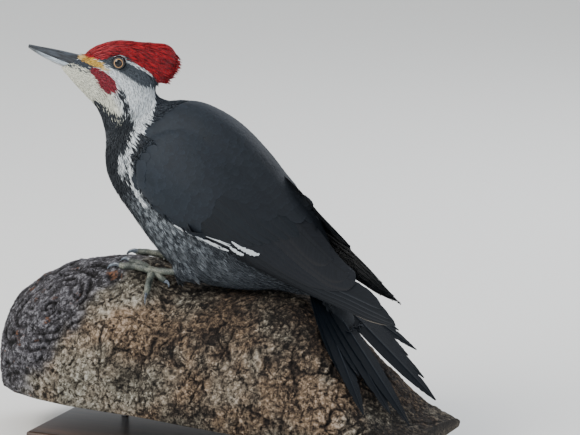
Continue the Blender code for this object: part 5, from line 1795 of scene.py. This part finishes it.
def clamp(value):
    return min(max(value, 0.0), 1.0)


def cell_edge(place, width):
    """How near a place is to the edge of its cell in a Voronoi pattern, from 0 to 1."""
    far, _ = noise.voronoi(place, distance_metric="DISTANCE")
    return math.exp(-(((far[1] - far[0]) / width) ** 2))


def bark_relief(places):
    """Height of the bark over its base surface in millimetres, with its tone, how much of it is the old wound,
    and how brown it is. The wound's wood has grown in folds round a knot; elsewhere the bark is crumbly and cracked."""
    bird = np.asarray(places) / MM - BIRD_SHIFT / MM
    knot = bird - np.array(WOUND_KNOT)
    # Across and up as seen from the bird's side, with the folds drawn out along a rising line.
    along, over = knot[:, 0] * 0.85 + knot[:, 2] * 0.52, knot[:, 2] * 0.85 - knot[:, 0] * 0.52
    height, level, wound, brown = (np.empty(len(bird)) for _ in range(4))
    # Without a seed, noise_vector gives another pattern in every run.
    noise.seed_set(5)
    for i, place in enumerate(places):
        p = Vector(place)
        q = p + noise.noise_vector(p * 48.0) * 0.0055 + noise.noise_vector(p * 170.0) * 0.0020
        lump = 1 - 2 * abs(noise.noise(q * 145.0))
        crumb = noise.fractal(q * 330.0, 0.55, 2.1, 3)
        swell = noise.noise(p * 30.0)
        crack = 0.8 * cell_edge(Vector((q.x, q.y, q.z * 0.8)) * 34.0, 0.032) * clamp(0.25 + 2.6 * noise.noise(p * 31.0))
        # Between the deep cracks the bark is checked into small angular flakes.
        check = cell_edge(Vector((q.x, q.y, q.z * 0.7)) * 105.0, 0.10) * clamp(0.5 + 2.4 * noise.noise(p * 60.0))
        reach = math.hypot(along[i] / 2.8, over[i]) + 8.0 * noise.noise(p * 30.0) + 2.2 * noise.noise(p * 105.0)
        fold = abs(math.sin(math.pi * reach / (3.3 + 0.05 * reach)))
        crease = (1 - fold) ** 1.6 * clamp(0.55 + 2.2 * noise.noise(q * 60.0))
        border = -0.817 * (bird[i, 0] + 95.0) + 0.577 * (bird[i, 2] - 138.0)
        border += 15.0 * noise.noise(p * 32.0) + 7.0 * noise.noise(p * 110.0)
        wound[i] = 1 / (1 + math.exp(-border / 3.2))
        plain = 1.3 * swell + 0.45 * lump + 0.8 * crumb - 2.2 * crack - 0.9 * check - 0.2
        old = 0.9 * swell - 2.4 * crease + 0.6 * crumb + 0.6 * lump
        height[i] = plain + (old - plain) * wound[i]
        # The tone follows the relief and is darker in cracks and checks; in the wound it is painted lighter on the
        # ridges of the folds and darker in their creases, as painted highlight and shade.
        plain = 0.50 + 0.16 * lump + 0.46 * crumb - 0.8 * crack - 0.42 * check + 0.40 * noise.noise(p * 21.0)
        old = 0.60 - 0.75 * crease + 0.38 * crumb + 0.28 * lump
        level[i] = plain + (old - plain) * wound[i]
        brown[i] = 0.5 + 1.3 * noise.noise(p * 24.0) + 0.5 * noise.noise(p * 95.0)
    # The bark is browner towards the tail, and painted darker just under the bird, as painted shadow.
    brown += np.clip((bird[:, 0] + 60) / 70, -0.6, 0.2)
    top, _ = perch_station(bird[:, 0])
    shadow_under_bird = np.exp(-((top - bird[:, 2]) / 15.0) ** 2) * np.clip((bird[:, 0] + 100) / 12, 0, 1)
    level -= 0.30 * shadow_under_bird * (1 - wound)
    return height, np.clip(level, 0, 1), wound, np.clip(brown, 0, 1)


def perch_bark(along, around_count):
    """Bark over the top and sides of the perch, down to the sawn underside."""
    # Rows are evenly spaced over the bark, so that they crowd together where the perch's end rounds off.
    fine = np.linspace(PERCH_SECTIONS[0][0] + 0.3, PERCH_SECTIONS[-1][0], 2000)
    top, depth = perch_station(fine)
    walk = np.concatenate([[0], np.cumsum(np.hypot(np.diff(fine), np.maximum(abs(np.diff(top)), abs(np.diff(depth)))))])
    xs = np.interp(np.linspace(0, walk[-1], along), walk, fine)
    low = math.asin(PERCH_UNDERCUT)
    x, a = np.meshgrid(xs, np.linspace(-low, math.pi + low, around_count), indexing="ij")
    top, depth = perch_station(x)
    base = perch_floor(x)
    arch = (np.sin(a) + PERCH_UNDERCUT) / (1 + PERCH_UNDERCUT)
    place = np.stack([x, -depth * np.cos(a), base + (top - base) * arch], -1) * MM + BIRD_SHIFT
    normal = unit(np.cross(np.gradient(place, axis=1), np.gradient(place, axis=0)))
    if normal[along // 2, around_count // 2, 2] < 0:
        normal = -normal
    flat = place.reshape(-1, 3)
    height, level, wound, brown = bark_relief(flat)
    edge = np.minimum(1.0, np.minimum(a.ravel() + low, math.pi + low - a.ravel()) / 0.10)
    end = np.clip((PERCH_SECTIONS[-1][0] - x.ravel()) / 4.0, 0, 1)
    # Where the feet press, the bark rises less.
    calm = np.ones(len(flat))
    for spot in FEET.values():
        joint = np.array((*spot, float(perch_height(*spot)))) * MM + BIRD_SHIFT
        calm = np.minimum(calm, np.clip((np.linalg.norm(flat - joint, axis=1) - 0.018) / 0.02, 0.25, 1))
    rise = np.maximum(height, -3.6) * edge * (0.4 + 0.6 * end)
    rise = np.where(rise > 0, rise * calm, rise)
    outer = flat + normal.reshape(-1, 3) * (rise * MM)[:, None]
    outer = outer.reshape(along, around_count, 3)
    outer[..., 2] = np.maximum(outer[..., 2], perch_floor(x) * MM)
    outer[..., 1] = np.clip(outer[..., 1], -PERCH_REACH * MM, PERCH_REACH * MM)
    outer[:, 0, 2] = outer[:, -1, 2] = perch_floor(xs) * MM
    grid = np.arange(along * around_count).reshape(along, around_count)
    quads = np.stack([grid[:-1, :-1], grid[:-1, 1:], grid[1:, 1:], grid[1:, :-1]], -1).reshape(-1, 4)
    under = np.stack([grid[:-1, 0], grid[1:, 0], grid[1:, -1], grid[:-1, -1]], -1)
    mesh = mesh_from_arrays("perch_bark", outer.reshape(-1, 3), (quads, under))
    bm = bmesh.new()
    bm.from_mesh(mesh)
    bm.verts.ensure_lookup_table()
    for row in (0, along - 1):
        bm.faces.new([bm.verts[i] for i in grid[row]])
    bmesh.ops.recalc_face_normals(bm, faces=bm.faces)
    for face in bm.faces:
        sawn = len(face.verts) > 4 or (face.normal.z < -0.97)
        face.material_index = 1 if sawn and not (len(face.verts) > 4 and face.calc_center_median().x < 0) else 0
        face.smooth = not sawn
    bmesh.ops.triangulate(bm, faces=[f for f in bm.faces if len(f.verts) > 4])
    bm.to_mesh(mesh)
    bm.free()
    set_colours(mesh, np.stack([level, wound, brown], -1))
    return link(mesh)


# Settings, operators and panel


class WoodpeckerSettings(bpy.types.PropertyGroup):
    """Sizes and counts that a user may change"""

    skin_voxel: bpy.props.FloatProperty(
        name="Skin detail", description="Size of the skin's smallest face", default=0.0015, unit="LENGTH"
    )
    eye_opening: bpy.props.FloatProperty(
        name="Eye opening", description="Radius of the gap between the lids", default=0.00370, unit="LENGTH",
        precision=5
    )
    lid_rim: bpy.props.FloatProperty(
        name="Lid rim", description="Outer radius of the bare ring round the eye", default=0.00438, unit="LENGTH",
        precision=5
    )
    bark_rows: bpy.props.IntProperty(
        name="Bark rows", description="Rows of faces along the perch", default=430, min=60
    )
    bark_columns: bpy.props.IntProperty(
        name="Bark columns", description="Faces round the perch", default=210, min=40
    )
    floor_colour: bpy.props.FloatVectorProperty(
        name="Floor colour", description="Colour of the studio paper", subtype="COLOR", size=3,
        default=linear("#e9e9e6")
    )


class SkinOperator(bpy.types.Operator):
    """Builds the skin under the plumage"""

    bl_idname = "woodpecker.skin"
    bl_label = "Skin"

    def execute(self, context):
        skin = make_skin(context.scene.woodpecker.skin_voxel)
        coat = contour_feather_material("underdown", 0.2, 0.85)
        settle(skin, coat, "black_plumage", "head", "neck", "trunk", "thigh_left", "thigh_right", "crest")
        set_uv(skin.data, "vane", np.array([(v.co.x * 400, v.co.z * 400) for v in skin.data.vertices]))
        return {"FINISHED"}


class HeadOperator(bpy.types.Operator):
    """Lays the small feathers of the head, the crest and the neck"""

    bl_idname = "woodpecker.head_plumage"
    bl_label = "Head plumage"

    def execute(self, context):
        soft = contour_feather_material("head_barbs", 0.22, 0.72)
        plume = contour_feather_material("crest_barbs", 0.15, 0.55)
        for build, material, slot in (
            (head_fluff, soft, "white_plumage"),
            (nasal_bristles, soft, "white_plumage"),
            (neck_ruff, soft, "white_plumage"),
            (crest_plumes, plume, "red_plumage"),
        ):
            mesh = build()
            settle(link(mesh), material, slot)
        return {"FINISHED"}


class CoatOperator(bpy.types.Operator):
    """Lays the contour feathers of the back, underside and wing coverts"""

    bl_idname = "woodpecker.coat"
    bl_label = "Body plumage"

    def execute(self, context):
        material = contour_feather_material("body_barbs", 0.30, 0.66)
        smooth = contour_feather_material("covert_barbs", 0.04, 0.6, 0.88, 1.12)
        meshes = [
            (contour_coat("back_feathers", 9.0, LAST_STATION + 0.1, False, 31), smooth),
            (contour_coat("breast_feathers", 10.8, 13.2, True, 32), material),
            (contour_coat("belly_feathers", 13.2, 15.6, True, 33), material),
            (contour_coat("vent_feathers", 15.6, LAST_STATION + 0.1, True, 34), material),
            (wing_coverts(), smooth),
        ]
        for mesh, finish in meshes:
            settle(link(mesh), finish, "black_plumage")
        return {"FINISHED"}


class WingOperator(bpy.types.Operator):
    """Builds the flight feathers of both wings"""

    bl_idname = "woodpecker.wings"
    bl_label = "Flight feathers"

    def execute(self, context):
        vane = flight_feather_material("wing_vane", "#13161b", "#1f2328", 0.52, 0.14)
        # The white slips' vane colours are painted bluish grey, as painted shade.
        slip = flight_feather_material("white_vane", "#a9b5c0", "#d6dee4", 0.6)
        for side, name in ((-1, "wing_left"), (1, "wing_right")):
            mesh = wing_quills(side)
            settle(link(mesh), vane, "flight_feather", name)
            mesh = white_slips(side)
            settle(link(mesh), slip, "white_plumage")
        return {"FINISHED"}


class TailOperator(bpy.types.Operator):
    """Builds the stiff tail feathers"""

    bl_idname = "woodpecker.tail"
    bl_label = "Tail"

    def execute(self, context):
        vane = flight_feather_material("tail_vane", "#03060a", "#0b1219", 0.45, 0.06)
        mesh = tail_feathers()
        settle(link(mesh), vane, "flight_feather", "tail")
        return {"FINISHED"}


class FaceOperator(bpy.types.Operator):
    """Builds the bill, the eyes and their lids"""

    bl_idname = "woodpecker.face"
    bl_label = "Bill and eyes"

    def execute(self, context):
        upper = horn_material("bill_horn_upper", "#0c0f13", "#373e47", 0.36)
        lower = horn_material("bill_horn_lower", "#66727e", "#b7c3cd", 0.36)
        lid = lid_material("lid_skin")
        settle(bill_piece(True), upper, "bill_horn", "bill_upper")
        settle(bill_piece(False), lower, "bill_horn", "bill_lower")
        sizes = context.scene.woodpecker
        for name in ("left", "right"):
            settle(eyeball(name), eye_material("cornea_" + name, name), "eye", "eye_" + name)
            settle(eyelids(name, sizes.eye_opening, sizes.lid_rim), lid, "skin")
        return {"FINISHED"}


class FeetOperator(bpy.types.Operator):
    """Builds the scaled feet and the claws"""

    bl_idname = "woodpecker.feet"
    bl_label = "Feet"

    def execute(self, context):
        scale = scute_material("toe_scutes")
        horn = horn_material("claw_horn_grey", "#2b3038", "#75808c", 0.3)
        for name in ("left", "right"):
            toes, claws = foot(name)
            set_colours(claws.data, np.ones((len(claws.data.vertices), 3)))
            settle(toes, scale, "foot_scale", "foot_" + name)
            settle(claws, horn, "claw_horn", *("claw_%s_%d" % (name, i) for i in range(1, 5)))
        return {"FINISHED"}


class PerchOperator(bpy.types.Operator):
    """Builds the bark of the perch"""

    bl_idname = "woodpecker.perch"
    bl_label = "Perch"

    def execute(self, context):
        sizes = context.scene.woodpecker
        perch = perch_bark(sizes.bark_rows, sizes.bark_columns)
        wood = sawn_wood_material("sawn_heartwood")
        settle(perch, bark_material("corky_bark"), "bark", "perch_trunk")
        perch.data.materials.append(wood)
        return {"FINISHED"}


class StandOperator(bpy.types.Operator):
    """Gives the stand's board and rods their finishes"""

    bl_idname = "woodpecker.stand"
    bl_label = "Stand"

    def execute(self, context):
        board, steel = stained_board_material("stained_walnut"), brushed_steel_material("drawn_steel")
        for name, material in (("stand_base", board), ("stand_rod_front", steel), ("stand_rod_rear", steel)):
            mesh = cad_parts[name].data
            mesh.materials.clear()
            mesh.materials.append(material)
        return {"FINISHED"}


class StageOperator(bpy.types.Operator):
    """Sets up the floor, the lights and the camera"""

    bl_idname = "woodpecker.stage"
    bl_label = "Stage"

    def execute(self, context):
        scene = context.scene
        bm = bmesh.new()
        bmesh.ops.create_grid(bm, x_segments=1, y_segments=1, size=8.0)
        floor = bmesh_object("studio_floor", bm)
        floor.data.materials.append(plain_paper_material("studio_paper", scene.woodpecker.floor_colour))
        world = bpy.data.worlds.new("soft_sky")
        scene.world = world
        world.use_nodes = True
        world.node_tree.nodes["Background"].inputs["Color"].default_value = (*linear("#e6e9ec"), 1.0)
        world.node_tree.nodes["Background"].inputs["Strength"].default_value = 1.05
        for name, (place, power, size, tint) in LAMPS.items():
            light = bpy.data.lights.new(name, "AREA")
            light.energy, light.size, light.color = power, size, linear(tint)
            lamp = bpy.data.objects.new(name, light)
            lamp.location = place
            lamp.rotation_euler = (LAMP_AIM - Vector(place)).to_track_quat("-Z", "Y").to_euler()
            scene.collection.objects.link(lamp)
        turn, rise = math.radians(VIEW_TURN), math.radians(VIEW_RISE)
        back = Vector((math.sin(turn) * math.cos(rise), -math.cos(turn) * math.cos(rise), math.sin(rise)))
        camera = bpy.data.objects.new("camera", bpy.data.cameras.new("camera"))
        camera.data.lens = VIEW_LENS
        camera.data.clip_end = 50.0
        camera.location = Vector(VIEW_AIM) + back * VIEW_WIDTH * VIEW_LENS / camera.data.sensor_width
        camera.rotation_euler = (-back).to_track_quat("-Z", "Y").to_euler()
        scene.collection.objects.link(camera)
        scene.camera = camera
        return {"FINISHED"}


OPERATORS = (SkinOperator, HeadOperator, CoatOperator, WingOperator, TailOperator, FaceOperator, FeetOperator,
             PerchOperator, StandOperator, StageOperator)


class WoodpeckerPanel(bpy.types.Panel):
    """Lists the steps that build the woodpecker"""

    bl_idname = "VIEW3D_PT_woodpecker"
    bl_label = "Woodpecker"
    bl_space_type = "VIEW_3D"
    bl_region_type = "UI"
    bl_category = "Woodpecker"

    def draw(self, context):
        settings = context.scene.woodpecker
        for name in ("skin_voxel", "eye_opening", "lid_rim", "bark_rows", "bark_columns", "floor_colour"):
            self.layout.prop(settings, name)
        for operator in OPERATORS:
            self.layout.operator(operator.bl_idname)


CLASSES = (WoodpeckerSettings, *OPERATORS, WoodpeckerPanel)


def register():
    for cls in CLASSES:
        bpy.utils.register_class(cls)
    bpy.types.Scene.woodpecker = bpy.props.PointerProperty(type=WoodpeckerSettings)


def unregister():
    del bpy.types.Scene.woodpecker
    for cls in reversed(CLASSES):
        bpy.utils.unregister_class(cls)


def main():
    register()
    for step in ("skin", "head_plumage", "coat", "wings", "tail", "face", "feet", "perch", "stand", "stage"):
        if getattr(bpy.ops.woodpecker, step)() != {"FINISHED"}:
            raise RuntimeError("the step %s did not finish" % step)


if __name__ == "__main__":
    main()
